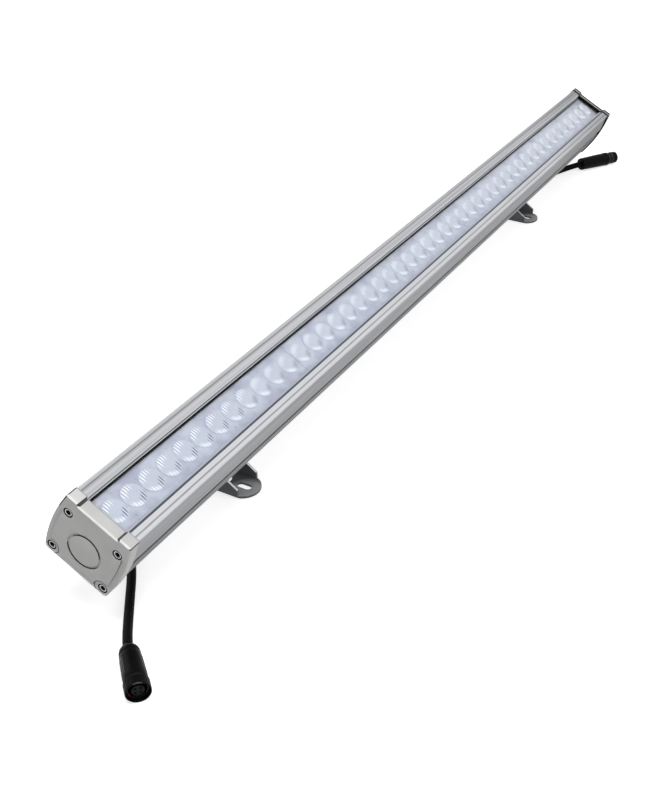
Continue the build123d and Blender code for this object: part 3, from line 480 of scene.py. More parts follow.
def glass_filled_nylon(code):
    """Moulded glass filled nylon of glands and connectors."""
    # Black with a low sheen, faintly grained by the glass fibres
    made, tree = start_material("glass_filled_nylon")
    where = add_node(tree, "ShaderNodeTexCoord").outputs["Object"]
    # Fibre grain is about 0.1 mm; it is drawn at 0.6 mm so that it shows
    fibres = {"Scale": 1 / (0.6 * MM), "Smoothness": 0.6}
    grain = add_node(tree, "ShaderNodeTexVoronoi", {"feature": "SMOOTH_F1"}, fibres, {"Vector": where})
    colours = {6: linear("#050505"), 7: linear(code)}
    tone = add_node(tree, "ShaderNodeMix", {"data_type": "RGBA"}, colours, {0: grain})
    return finish(made, tree, tone, grain, (0.28, 0.42), (0.2, 0.03), values={"Specular IOR Level": 0.05})


def polished_nylon_with_glint(code):
    """Rims, threads and grip bars of the connectors, where handling and mating have polished the nylon.

    Their lighter colour is a painted highlight.
    """
    # A painted glint on black, broken by fine scuffs
    made, tree, _, scuffs, tone = mottled("polished_nylon_with_glint", 0.9, {"Detail": 4.0}, "#0B0B0C", code)
    return finish(made, tree, tone, scuffs, (0.15, 0.35), values={"Specular IOR Level": 0.4})


def insert_nylon(code):
    """Moulded nylon of the inserts that hold the contacts."""
    # Nearly black, with a trace of green, and dull
    made, tree, _, grain, tone = mottled("insert_nylon", 0.8, {"Detail": 3.0}, "#080A09", code)
    return finish(made, tree, tone, grain, (0.42, 0.6), values={"Specular IOR Level": 0.08})


def maroon_silicone(code):
    """Moulded silicone face seal of the socket."""
    # Deep wine red and slightly waxy
    made, tree, _, mottle, tone = mottled("maroon_silicone", 1.5, {"Detail": 3.0}, "#34090D", code)
    return finish(made, tree, tone, mottle, (0.4, 0.55), values={"Specular IOR Level": 0.3})


def turned_stainless(code):
    """Turned stainless steel of the screws."""
    # Bright, with fine turning marks that break up the gloss
    # Turning marks are about 0.05 mm apart; they are drawn at 0.5 mm so that they show
    made, tree, _, marks, tone = mottled(
        "turned_stainless", 0.5, {"Detail": 4.0, "Roughness": 0.7}, "#B4B6B9", code
    )
    return finish(made, tree, tone, marks, (0.2, 0.36), values={"Metallic": 1.0})


def painted_screw_shade(code):
    """Broached hexagon and edges of the screws, painted black as shade."""
    # A black pit with a trace of gloss
    made, tree, _, grease, tone = mottled("painted_screw_shade", 0.8, {"Detail": 2.0}, "#020202", code)
    return finish(made, tree, tone, grease, (0.45, 0.65), values={"Specular IOR Level": 0.15})


def zinc_plating(code):
    """Zinc plated steel of the bolts, washers and nuts."""
    # Cool grey with a cloudy bluish bloom
    made, tree, _, bloom, tone = mottled("zinc_plating", 2.5, {"Detail": 5.0}, "#7F868F", code)
    return finish(made, tree, tone, bloom, (0.28, 0.46), values={"Metallic": 1.0})


def bracket_coat(code):
    """Bent sheet steel of the brackets with a dark grey powder coat."""
    # Low gloss grey with an orange peel ripple and slow clouds of tone
    made, tree, where, _, tone = mottled("bracket_coat", 12, {"Detail": 2.0}, "#555658", code)
    ripple = {"Scale": 1 / (1.3 * MM), "Detail": 2.0}
    peel = add_node(tree, "ShaderNodeTexNoise", None, ripple, {"Vector": where})
    return finish(made, tree, tone, peel, (0.42, 0.58), (0.3, 0.05), values={"Specular IOR Level": 0.35})


def lit_and_shaded_foot_coat(code):
    """Powder coat on top of the bracket feet: painted light round the slots and a painted shadow near the pivot."""
    # A lighter grey than the ears towards the tip of the foot, as painted light, with soft scratches across it
    # Scratches are a few hundredths of a millimetre wide; they are drawn 0.7 mm wide so that they show
    made, tree, where, scratches, tone = mottled(
        "lit_and_shaded_foot_coat", 0.7, {"Detail": 4.0}, "#9C9DA0", code, (1, 0.12, 1)
    )
    # The two feet lie twice BRACKET_X apart, so this measures along each foot alike
    parts = add_node(tree, "ShaderNodeSeparateXYZ", None, None, {"Vector": where}).outputs
    shifted = add_node(tree, "ShaderNodeMath", {"operation": "ADD"}, {1: 1.5 * BRACKET_X * MM}, {0: parts["X"]})
    spacing = {1: 2 * BRACKET_X * MM}
    along_foot = add_node(tree, "ShaderNodeMath", {"operation": "FLOORED_MODULO"}, spacing, {0: shifted})
    across_foot = add_node(tree, "ShaderNodeMath", {"operation": "ABSOLUTE"}, None, {0: parts["Y"]})
    spot = add_node(tree, "ShaderNodeCombineXYZ", None, None, {"X": along_foot, "Y": across_foot})
    # Painted shadow: the coat turns dark near the pivot, away from the slot
    slot = {1: ((0.5 * BRACKET_X - 6) * MM, 30 * MM, 0)}
    reach = add_node(tree, "ShaderNodeVectorMath", {"operation": "DISTANCE"}, slot, {0: spot})
    pivot_shadow = add_node(tree, "ShaderNodeMapRange", None, {"From Min": 13 * MM, "From Max": 19 * MM}, {"Value": reach})
    return finish(made, tree, tone, scratches, (0.4, 0.6), coats=(("#57585A", pivot_shadow),))


def sheared_edge_highlight(code):
    """Cut edges of the bracket sheet, where the coat is thin, painted bright as a highlight."""
    # A painted highlight: a thin bright line along the outline of the ears, patchy
    made, tree, _, chips, tone = mottled("sheared_edge_highlight", 3, {"Detail": 4.0}, "#B4B5B7", code)
    return finish(made, tree, tone, chips, (0.3, 0.5), values={"Metallic": 0.6})


def toughened_glass(code):
    """Toughened float glass of the front, coated against reflections."""
    # Clear, with little mirror and a trace of blue, and faint smears in the gloss
    made, tree = start_material("toughened_glass")
    where = add_node(tree, "ShaderNodeTexCoord").outputs["Object"]
    wiping = {"Scale": 1 / (40 * MM), "Detail": 3.0}
    smears = add_node(tree, "ShaderNodeTexNoise", None, wiping, {"Vector": where})
    values = {"Base Color": linear(code), "Transmission Weight": 1.0, "IOR": 1.25}
    return finish(made, tree, None, smears, (0.0, 0.04), values=values)


def lens_acrylic(code):
    """Moulded acrylic lenses, milky over the white board below."""
    # Pale and glossy, with painted highlights along the ribs at the two sides of a lens and painted shade between them
    made, tree, _, _, tone = mottled("lens_acrylic", 9, {"Detail": 3.0}, "#B6BBC8", code)
    ribs = add_node(tree, "ShaderNodeAttribute", {"attribute_name": "rib_light"}).outputs["Fac"]
    falling = {"From Max": 0.5, "To Min": 1.0, "To Max": 0.0}
    rib_shade = add_node(tree, "ShaderNodeMapRange", None, falling, {"Value": ribs})
    rib_highlight = add_node(tree, "ShaderNodeMapRange", None, {"From Min": 0.5}, {"Value": ribs})
    values = {"Roughness": 0.2, "IOR": 1.49, "Specular IOR Level": 0.35}
    return finish(made, tree, tone, coats=(("#4E5670", rib_shade), ("#F3F5FA", rib_highlight)), values=values)


def plate_acrylic(code):
    """Flat web of the lens strips, of the same moulded acrylic."""
    # A pale lavender grey, because the board lies deep below it
    made, tree, _, depth, tone = mottled(
        "plate_acrylic", 14, {"Detail": 3.0}, "#A3A5B6", code, contrast=(0.35, 0.62)
    )
    return finish(made, tree, tone, depth, (0.24, 0.36), values={"IOR": 1.49})


def white_solder_mask(code):
    """LED boards with a white solder mask over copper."""
    # White with faint raised copper paths below it
    rows = {"Scale": 1 / (10.2 * MM), "Mortar Size": 0.06, "Brick Width": 1.0, "Row Height": 0.4}
    made, tree, paths, tone = solder_mask("white_solder_mask", code, "#C9CCD0", 0.5, rows)
    return finish(made, tree, tone, paths, bump=(0.3, 0.05), values={"Roughness": 0.35})


def phosphor_gel(code):
    """LED packages with a yellow phosphor gel."""
    # Warm yellow, grainy and dull
    made, tree, _, _, tone = mottled("phosphor_gel", 0.4, {"Detail": 3.0}, "#D9B84A", code)
    return finish(made, tree, tone, values={"Roughness": 0.45})


def green_solder_mask(code):
    """Driver board with a green solder mask over copper."""
    # Deep green with lighter copper paths
    rows = {"Scale": 1 / (6 * MM), "Mortar Size": 0.08, "Brick Width": 1.6, "Row Height": 0.5}
    made, tree, _, tone = solder_mask("green_solder_mask", code, "#2F7A45", 0.37, rows)
    return finish(made, tree, tone, values={"Roughness": 0.35})


def moulded_epoxy(code):
    """Coils and capacitors of the driver, moulded in epoxy."""
    # Dark grey with a fine mottle
    made, tree, _, mottle, tone = mottled("moulded_epoxy", 1, {"Detail": 4.0}, "#18191B", code)
    return finish(made, tree, tone, mottle, (0.42, 0.6))


def wire_insulation(code):
    """Extruded PVC of the inner leads."""
    # Red with a waxy gloss
    made, tree, _, _, tone = mottled("wire_insulation", 1.2, {"Detail": 2.0}, "#8E1A16", code)
    return finish(made, tree, tone, values={"Roughness": 0.4})


def plated_brass(code):
    """Turned brass contacts with a worn plating."""
    # Bright and warm, duller where the plating is rubbed
    made, tree, _, wear, tone = mottled("plated_brass", 0.6, {"Detail": 3.0}, "#A98B4C", code)
    return finish(made, tree, tone, wear, (0.2, 0.38), values={"Metallic": 1.0})


def deselect():
    """Leaves no object selected."""
    bpy.ops.object.select_all(action="DESELECT")


def activate(obj):
    """Selects one object alone and makes it the active one."""
    deselect()
    obj.select_set(True)
    bpy.context.view_layer.objects.active = obj


def modify(obj, kind, **settings):
    """Adds a modifier and applies it."""
    activate(obj)
    made = obj.modifiers.new(kind.lower(), kind)
    for key, value in settings.items():
        setattr(made, key, value)
    bpy.ops.object.modifier_apply(modifier=made.name)


def rounded(obj, bevel, angle, segments=2):
    """Rounds the edges that turn by more than an angle in degrees, by bevel mm."""
    limit = math.radians(angle)
    modify(obj, "BEVEL", width=bevel * MM, segments=segments, limit_method="ANGLE", angle_limit=limit)


def carve(obj, operation, cutter):
    """Cuts a piece with a second one, which is then removed."""
    modify(obj, "BOOLEAN", operation=operation, object=cutter, solver="EXACT")
    bpy.data.objects.remove(cutter)


def smooth(obj, angle):
    """Shades a piece smooth, but for edges that turn by more than an angle in degrees."""
    activate(obj)
    bpy.ops.object.shade_smooth_by_angle(angle=math.radians(angle))


def pick_faces(obj, test):
    """Leaves the object in edit mode with the faces selected whose centre and normal pass a test."""
    activate(obj)
    bpy.ops.object.mode_set(mode="EDIT")
    bpy.ops.mesh.select_mode(type="FACE")
    bpy.ops.mesh.select_all(action="DESELECT")
    bpy.ops.object.mode_set(mode="OBJECT")
    for face in obj.data.polygons:
        face.select = test(face.center, face.normal)
    bpy.ops.object.mode_set(mode="EDIT")


def gripped(obj, test, rim, rise, bevel, angle, single=True):
    """Raises the faces that pass a test by rise mm inside a rim, or sinks them, and rounds the piece."""
    pick_faces(obj, test)
    bpy.ops.mesh.inset(thickness=rim * MM, use_individual=single)
    bpy.ops.transform.shrink_fatten(value=rise * MM)
    bpy.ops.object.mode_set(mode="OBJECT")
    rounded(obj, bevel, angle)
    smooth(obj, 40)
    return obj


def facet(at, count):
    """Number of the long face, of count faces round a turned piece, that a point lies on."""
    return round(math.degrees(math.atan2(at.y, at.x)) / (360 / count) - 0.5)


def in_frame(face, level):
    """Centre of a face in mm and its normal, in the frame that a matrix leads to."""
    return level @ face.center / MM, level.to_3x3() @ face.normal


def place(obj, matrix):
    """Puts a piece in its place and applies that, so that the place is in its mesh."""
    activate(obj)
    obj.matrix_world = matrix
    bpy.ops.object.transform_apply(location=True, rotation=True, scale=True)


def repeat(obj, name, matrices):
    """Copies a piece to each place, joins the copies to one object and removes the first."""
    copies = []
    for matrix in matrices:
        made = bpy.data.objects.new(name, obj.data.copy())
        bpy.context.scene.collection.objects.link(made)
        place(made, matrix)
        copies.append(made)
    bpy.data.objects.remove(obj)
    return join(copies, name)


def join(pieces, name):
    """Joins pieces to one object with a name."""
    deselect()
    for piece in pieces:
        piece.select_set(True)
    bpy.context.view_layer.objects.active = pieces[0]
    if len(pieces) > 1:
        bpy.ops.object.join()
    pieces[0].name = name
    return pieces[0]


def lathe(name, stations, segments, ring=False):
    """Turned piece along +Z: a circle at the first (height, radius) in mm, extruded from station to station."""
    deselect()
    height, radius = stations[0]
    bpy.ops.mesh.primitive_circle_add(vertices=segments, radius=radius * MM, location=(0, 0, height * MM))
    obj = bpy.context.active_object
    obj.name = name
    bpy.ops.object.transform_apply(location=True)
    bpy.ops.object.mode_set(mode="EDIT")
    bpy.ops.mesh.select_mode(type="VERT")
    bpy.ops.mesh.select_all(action="SELECT")
    for (low, before), (high, after) in zip(stations, stations[1:]):
        bpy.ops.mesh.extrude_region_move(TRANSFORM_OT_translate={"value": (0, 0, (high - low) * MM)})
        grow = after / before
        bpy.ops.transform.resize(value=(grow, grow, 1), center_override=(0, 0, high * MM))
    bpy.ops.mesh.select_all(action="SELECT")
    if ring:
        bpy.ops.mesh.remove_doubles(threshold=MERGE * MM)
    else:
        bpy.ops.mesh.fill_holes(sides=segments)
    bpy.ops.mesh.normals_make_consistent(inside=False)
    bpy.ops.object.mode_set(mode="OBJECT")
    return obj


def dressed(node, bevel, segments=2):
    """Copy of a CAD node with its triangles merged to faces and its edges rounded by bevel mm."""
    obj = bpy.data.objects.new(f"{node}_dressed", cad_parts[node].data.copy())
    bpy.context.scene.collection.objects.link(obj)
    obj.data.materials.clear()
    activate(obj)
    bpy.ops.object.mode_set(mode="EDIT")
    bpy.ops.mesh.select_all(action="SELECT")
    bpy.ops.mesh.remove_doubles(threshold=MERGE * MM)
    bpy.ops.mesh.dissolve_limited(angle_limit=math.radians(0.6))
    bpy.ops.object.mode_set(mode="OBJECT")
    rounded(obj, bevel, 35, segments)
    smooth(obj, 40)
    return obj


def settle(obj, body, slot, surfaces, *nodes):
    """Gives a finished piece its materials and body, and hides the nodes that it stands for; its slot is not used."""
    for index, made in enumerate(surfaces):
        if index < len(obj.data.materials):
            obj.data.materials[index] = made
        else:
            obj.data.materials.append(made)
    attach(obj, body)
    if nodes:
        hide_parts(*nodes)


def paint(node, made):
    """Gives a CAD node that shows as it is its material."""
    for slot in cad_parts[node].material_slots:
        slot.material = made


def surface(maker, code):
    """The material that a maker gives, made once."""
    return bpy.data.materials.get(maker.__name__) or maker(code)


def along(rear, heading):
    """Matrix of a connector: local z runs along its axis from its rear end, local x points up."""
    axis = Vector((math.cos(heading), math.sin(heading), 0))
    up = Vector((0, 0, 1))
    turn = Matrix((up, axis.cross(up), axis)).transposed().to_4x4()
    return Matrix.Translation(rear * MM) @ turn


def ramp(value, low, high):
    """0 at low, 1 at high and straight between them."""
    return min(1.0, max(0.0, (value - low) / (high - low)))


def beside(angle, middle, spread):
    """1 near the middle angle, falling to 0 at spread degrees from it."""
    away = abs((angle - middle + 180) % 360 - 180)
    return ramp(spread - away, 0, spread / 2)


def led_stations(board):
    """Stations of the LEDs along the lamp on one board, in mm."""
    centre = (board - (BOARDS - 1) / 2) * LEDS_PER_BOARD * LED_PITCH
    return [centre + (n - (LEDS_PER_BOARD - 1) / 2) * LED_PITCH for n in range(LEDS_PER_BOARD)]


class WasherSizes(bpy.types.PropertyGroup):
    """Sizes of the light's small parts."""

    lens_radius: FloatProperty(
        name="Lens radius", description="Radius of one lens", default=9.8 * MM, unit="LENGTH", precision=5
    )
    lens_rise: FloatProperty(
        name="Lens rise", description="Height of a lens above its plate", default=1.05 * MM, unit="LENGTH", precision=5
    )
    lens_ribs: IntProperty(name="Lens ribs", description="Ribs along one lens", default=8)
    rib_depth: FloatProperty(
        name="Rib depth", description="Height of the ribs on a lens", default=0.16 * MM, unit="LENGTH", precision=5
    )
    cable_diameter: FloatProperty(
        name="Cable diameter", description="Diameter of both leads", default=7.2 * MM, unit="LENGTH", precision=5
    )
    nut_ribs: IntProperty(name="Nut ribs", description="Grip ribs round the coupling nut", default=24)


class WasherColours(bpy.types.PropertyGroup):
    """Colours of the light's finishes, as sRGB hex values."""

    rail: StringProperty(name="Extrusion", description="Anodised extrusion", default="#C6C7CA")
    # The rear bevel is lighter than the rail as painted light
    bevel: StringProperty(name="Rail bevel", description="Rubbed inner bevel of the rear rail", default="#E2E4E9")
    cap: StringProperty(name="End caps", description="Powder coat of the end caps", default="#CDCDCC")
    bracket: StringProperty(name="Brackets", description="Powder coat of the brackets", default="#6A6B6D")
    lens: StringProperty(name="Lenses", description="Acrylic of the lenses", default="#C3C6CE")
    plate: StringProperty(name="Lens plate", description="Acrylic between the lenses", default="#BABDC8")
    glass: StringProperty(name="Glass", description="Front glass", default="#F8FAFC")
    # The rubber colour is also the painted shade on the far gasket, far cap, cap edges, socket joints and seal
    rubber: StringProperty(name="Rubber", description="Strips and seals", default="#0A0A0B")
    gasket: StringProperty(name="Gasket", description="Silicone behind the near cap", default="#B2B2B1")
    # Colour of the painted shade in the notches, bores, grooves and on edges of the end caps
    sealant: StringProperty(name="Sealant", description="Sealant in notches and bores", default="#434541")
    cable: StringProperty(name="Cables", description="Sheath of the leads", default="#070707")
    nylon: StringProperty(name="Connectors", description="Nylon of glands and connectors", default="#0B0B0C")
    seal: StringProperty(name="Socket seal", description="Silicone seal in the socket", default="#7A1420")


class WASHER_OT_stage(bpy.types.Operator):
    """Camera at the photograph's view, pale floor, soft light and white surroundings."""

    bl_idname = "washer.stage"
    bl_label = "Stage"

    def execute(self, context):
        lens = bpy.data.cameras.new("view")
        lens.sensor_fit = "VERTICAL"
        lens.sensor_height = VIEW_SENSOR
        lens.lens = VIEW_LENS
        lens.clip_start = 0.01
        camera = bpy.data.objects.new("view", lens)
        camera.location = VIEW_FROM
        camera.rotation_euler = self.looking(Vector(VIEW_ALONG))
        context.scene.collection.objects.link(camera)
        context.scene.camera = camera
        context.scene.view_settings.view_transform = "Standard"

        deselect()
        bpy.ops.mesh.primitive_plane_add(size=12.0, location=(0, 0, -0.0002))
        floor = context.active_object
        floor.name = "floor"
        bpy.ops.object.transform_apply(location=True)
        floor.data.materials.append(self.floor_paint())

        for name, size, power, place_at, aim in (
            ("key", 1.4, 55.0, (-0.75, -0.5, 3.0), (0, 0, 0)),
            ("side", 1.6, 18.0, (0.1, -2.0, 1.75), (0, 0, 0.05)),
            ("fill", 1.8, 9.0, (0.3, 2.3, 1.1), (0, 0, 0.05)),
        ):
            light = bpy.data.lights.new(name, "AREA")
            light.size = size
            light.energy = power
            lamp = bpy.data.objects.new(name, light)
            lamp.location = place_at
            lamp.rotation_euler = self.looking(Vector(aim) - Vector(place_at))
            context.scene.collection.objects.link(lamp)

        world = bpy.data.worlds.new("surroundings")
        world.use_nodes = True
        tree = world.node_tree
        tree.nodes.clear()
        ambient = add_node(tree, "ShaderNodeBackground", None, {"Color": WHITE, "Strength": 0.26})
        white = add_node(tree, "ShaderNodeBackground", None, {"Color": WHITE, "Strength": 1.0})
        seen = self.seen_by_eye(tree)
        both = add_node(tree, "ShaderNodeMixShader", None, None, {"Fac": seen, 1: ambient, 2: white})
        add_node(tree, "ShaderNodeOutputWorld", None, None, {"Surface": both})
        context.scene.world = world
        return {"FINISHED"}

    def looking(self, along):
        """Rotation of a camera or a light that looks along a direction."""
        return along.to_track_quat("-Z", "Y").to_euler()

    def seen_by_eye(self, tree):
        """Factor that is 1 for camera, glossy and transmission rays."""
        path = add_node(tree, "ShaderNodeLightPath").outputs
        first = {0: path["Is Camera Ray"], 1: path["Is Glossy Ray"]}
        looked = add_node(tree, "ShaderNodeMath", {"operation": "MAXIMUM"}, None, first)
        through = {0: looked, 1: path["Is Transmission Ray"]}
        return add_node(tree, "ShaderNodeMath", {"operation": "MAXIMUM"}, None, through)

    def floor_paint(self):
        """Pale floor: diffuse, so it takes the shadow, lifted to white where it is looked at, and clear from below."""
        made, tree = start_material("pale_floor")
        matt = add_node(tree, "ShaderNodeBsdfDiffuse", None, {"Color": linear("#DADADA")})
        lift = add_node(tree, "ShaderNodeEmission", None, {"Color": WHITE}, {"Strength": self.lift(tree)})
        both = add_node(tree, "ShaderNodeAddShader", None, None, {0: matt, 1: lift})
        below = add_node(tree, "ShaderNodeNewGeometry").outputs["Backfacing"]
        clear = add_node(tree, "ShaderNodeBsdfTransparent")
        shown = add_node(tree, "ShaderNodeMixShader", None, None, {"Fac": below, 1: both, 2: clear})
        add_node(tree, "ShaderNodeOutputMaterial", None, None, {"Surface": shown})
        return made

    def lift(self, tree):
        """Brightness added to the floor where it is looked at, more away from the object, where the lamps fade."""
        where = add_node(tree, "ShaderNodeTexCoord").outputs["Object"]
        away = add_node(tree, "ShaderNodeVectorMath", {"operation": "LENGTH"}, None, {"Vector": where})
        fading = {"From Min": 1.0, "From Max": 2.2, "To Min": 0.7, "To Max": 1.0}
        level = add_node(tree, "ShaderNodeMapRange", None, fading, {"Value": away})
        return add_node(tree, "ShaderNodeMath", {"operation": "MULTIPLY"}, None, {0: self.seen_by_eye(tree), 1: level})


class WASHER_OT_cables(bpy.types.Operator):
    """Both leads, each from its gland down to the floor and along it into its connector."""

    bl_idname = "washer.cables"
    bl_label = "Cables"

    def execute(self, context):
        sizes = context.scene.washer_sizes
        sheath = surface(cable_rubber, context.scene.washer_colours.cable)
        for (end, way), floor_points, rear, heading in zip(
            ENDS,
            (NEAR_POINTS, FAR_POINTS),
            (SOCKET_REAR, PLUG_REAR),
            (SOCKET_HEADING, PLUG_HEADING),
        ):
            mouth = LAMP @ Vector((way * GLAND_X * MM, 0, GLAND_MOUTH * MM))
            below = LAMP @ Vector((way * GLAND_X * MM, 0, (GLAND_MOUTH - CABLE_STRAIGHT) * MM))
            axis = Vector((math.cos(heading), math.sin(heading), 0))
            route = [mouth, below] + [Vector(point) * MM for point in floor_points]
            route += [(rear - axis * CONNECTOR_STRAIGHT) * MM, rear * MM]
            line = bpy.data.curves.new(f"{end}_lead", "CURVE")
            line.dimensions = "3D"
            spline = line.splines.new("NURBS")
            spline.points.add(len(route) - 1)
            for point, where in zip(spline.points, route):
                point.co = (*where, 1.0)
            spline.order_u = 3
            spline.use_endpoint_u = True
            spline.resolution_u = 16
            line.bevel_depth = sizes.cable_diameter / 2
            line.bevel_resolution = 8
            line.use_fill_caps = True
            line.materials.append(sheath)
            lead = bpy.data.objects.new(f"{end}_lead", line)
            context.scene.collection.objects.link(lead)
            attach(lead, "lamp")
            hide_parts(f"{end}_cable")
        return {"FINISHED"}


class WASHER_OT_housing(bpy.types.Operator):
    """Extruded housing with its edges rounded, a scuffed rear bevel painted lighter, a front bevel painted pale as a
    reflection, and painted shade in its steps.
    """

    bl_idname = "washer.housing"
    bl_label = "Housing"

    def execute(self, context):
        colours = context.scene.washer_colours
        housing = dressed("housing", 0.18)
        # Finishes: the satin skin, the rear bevel painted lighter as painted light, painted shade for the steps, and a
        # painted reflection of the lens area on the front bevel
        skins = [
            surface(satin_anodising, colours.rail),
            surface(rubbed_and_lit_anodising, colours.bevel),
            surface(step_shade_anodising, "#7E8082"),
            surface(pale_silicone_and_reflection, BEAD_AND_REFLECTION_GREY),
        ]
        settle(housing, "lamp", "anodised_aluminium", skins, "housing")
        for face in housing.data.polygons:
            at, out = in_frame(face, LEVEL)
            if self.on_rear_bevel(at, out):
                face.material_index = 1
            elif self.on_step(at, out):
                face.material_index = 2
            elif self.on_front_bevel(at, out):
                face.material_index = 3
        return {"FINISHED"}

    def on_rear_bevel(self, at, out):
        """Inner bevel of the rear rail."""
        return BEVEL_IN < at.y < BEVEL_OUT and at.z > BEVEL_FOOT and SLANT_LOW < out.z < SLANT_HIGH

    def on_step(self, at, out):
        """Slopes above and below the recessed band of each flank."""
        across = SLOPE_IN < abs(at.y) < SLOPE_OUT
        return across and BAND_LOW < at.z < BAND_HIGH and SLANT_LOW < abs(out.z) < SLANT_HIGH

    def on_front_bevel(self, at, out):
        """Front bevel and the ledge at its foot, painted pale as a reflection of the lens area."""
        return -BEVEL_OUT < at.y < -LEDGE_IN and at.z > LEDGE_FOOT and out.z > SLANT_LOW


class WASHER_OT_end_caps(bpy.types.Operator):
    """Cast end caps with rounded edges, and the gaskets behind them."""

    bl_idname = "washer.end_caps"
    bl_label = "End caps"

    def execute(self, context):
        colours = context.scene.washer_colours
        black = surface(rubber_and_painted_shade, colours.rubber)
        finishes = [
            surface(powder_coated_casting, colours.cap),
            surface(painted_recess_shade, colours.sealant),
            surface(bare_edge_highlight, "#F6F6F4"),
            black,
        ]
        for end, way in ENDS:
            cap = dressed(f"{end}_end_cap", 0.15)
            if end == "far":
                self.score(cap, (LENGTH / 2 - FAR_BAND, 0, 0), (1, 0, 0))
                self.score(cap, (LENGTH / 2 - FAR_SEAM, 0, 0), (1, 0, 0))
            else:
                self.score(cap, (0, 0, FLANK_LOW), (0, 0, 1))
                self.score(cap, (0, 0, FLANK_HIGH), (0, 0, 1))
                self.score(cap, (0, TOP_EDGE, 0), (0, 1, 0))
            settle(cap, "lamp", "cast_aluminium", finishes, f"{end}_end_cap")
            # Painted shade on walls facing away from the end and in notches, bores, groove and step; on the near cap a
            # painted highlight along its upper front edge and painted shade on edges; the far cap painted black as
            # shade at its sides and band
            for face in cap.data.polygons:
                at, out = in_frame(face, LEVEL)
                depth = LENGTH / 2 - way * at.x
                if way * out.x < -WALL_TURN or self.is_sealed(at, out, depth):
                    face.material_index = 1
                elif end == "near":
                    face.material_index = self.near_finish(at, out)
                elif self.on_far_band(at, out, depth):
                    face.material_index = 3
        paint("near_cap_gasket", surface(sheet_silicone, colours.gasket))
        # Painted shade: the far gasket is black, while the near one keeps its grey
        paint("far_cap_gasket", black)
        return {"FINISHED"}

    def score(self, cap, point, across):
        """Cuts a line round the cap, through a point in mm and across a direction of the lamp."""
        activate(cap)
        bpy.ops.object.mode_set(mode="EDIT")
        bpy.ops.mesh.select_all(action="SELECT")
        bpy.ops.mesh.bisect(plane_co=LAMP @ (Vector(point) * MM), plane_no=LAMP.to_3x3() @ Vector(across))
        bpy.ops.object.mode_set(mode="OBJECT")

    def is_sealed(self, at, out, depth):
        """Faces painted with shade on both caps: notches, bores, and walls of the ring groove and the step."""
        wall = abs(out.x) < WALL_TURN
        grooved = wall and (self.in_ring(at, depth) or self.in_step(at, depth))
        return grooved or self.in_notch(at, out) or self.in_bore(at, depth)

    def near_finish(self, at, out):
        """Number of the finish on a face of the near cap: 2, a painted highlight, along its upper front edge, and 3 and
        1, painted shade, on edges.
        """
        on_edge = out.x < -EDGE_TURN
        if on_edge and out.z > EDGE_TURN:
            return 2
        if on_edge and (out.y > SIDE_TURN and at.z > HUMP_FOOT or out.y < -SIDE_TURN and at.z < CORNER_TOP):
            return 3
        if at.y > TOP_EDGE and out.z > TOP_TURN and abs(out.x) < WALL_TURN:
            return 3
        return int(out.y < -WALL_TURN and not FLANK_LOW < at.z < FLANK_HIGH)

    def on_far_band(self, at, out, depth):
        """Sides of the far cap, and its top outside the scored lines, painted black as shade along the edges."""
        sideways = abs(out.y) > (FAR_FOOT_TURN if at.z < FAR_FOOT else FAR_TURN)
        return abs(out.x) < END_TURN and (sideways or not FAR_BAND <= depth <= FAR_SEAM)

    def in_notch(self, at, out):
        """Faces of the slopes between the low middle of the cap and the tops beside it."""
        return NOTCH_IN < abs(at.y) < NOTCH_OUT and at.z > NOTCH_FOOT and SIDE_TURN < out.z < END_TURN

    def in_bore(self, at, depth):
        """Faces of the walls and floors of the screw bores."""
        nearest = min(math.hypot(at.y - y, at.z - z) for y, z, _ in SCREW_SPOTS)
        return depth > FACE_DEPTH and nearest < BORE_MARGIN * BORE_R

    def in_step(self, at, depth):
        """Faces of the wall of the shallow step along the sides and the lower screws."""
        clear = math.hypot(at.y, at.z - RING_Z) > RING_R + RING_KEEP
        inside = abs(at.y) < STEP_OUT and STEP_LOW < at.z < STEP_HIGH
        return depth < STEP_DEPTH + FACE_DEPTH and clear and inside

    def in_ring(self, at, depth):
        """Faces of the walls of the ring groove, above and below, which are painted with shade."""
        reach = math.hypot(at.y, at.z - RING_Z)
        on_wall = RING_R - RING_W - RING_MARGIN < reach < RING_R + RING_MARGIN
        return FACE_DEPTH < depth < RING_DEPTH and on_wall and abs(at.z - RING_Z) > RING_CLEAR


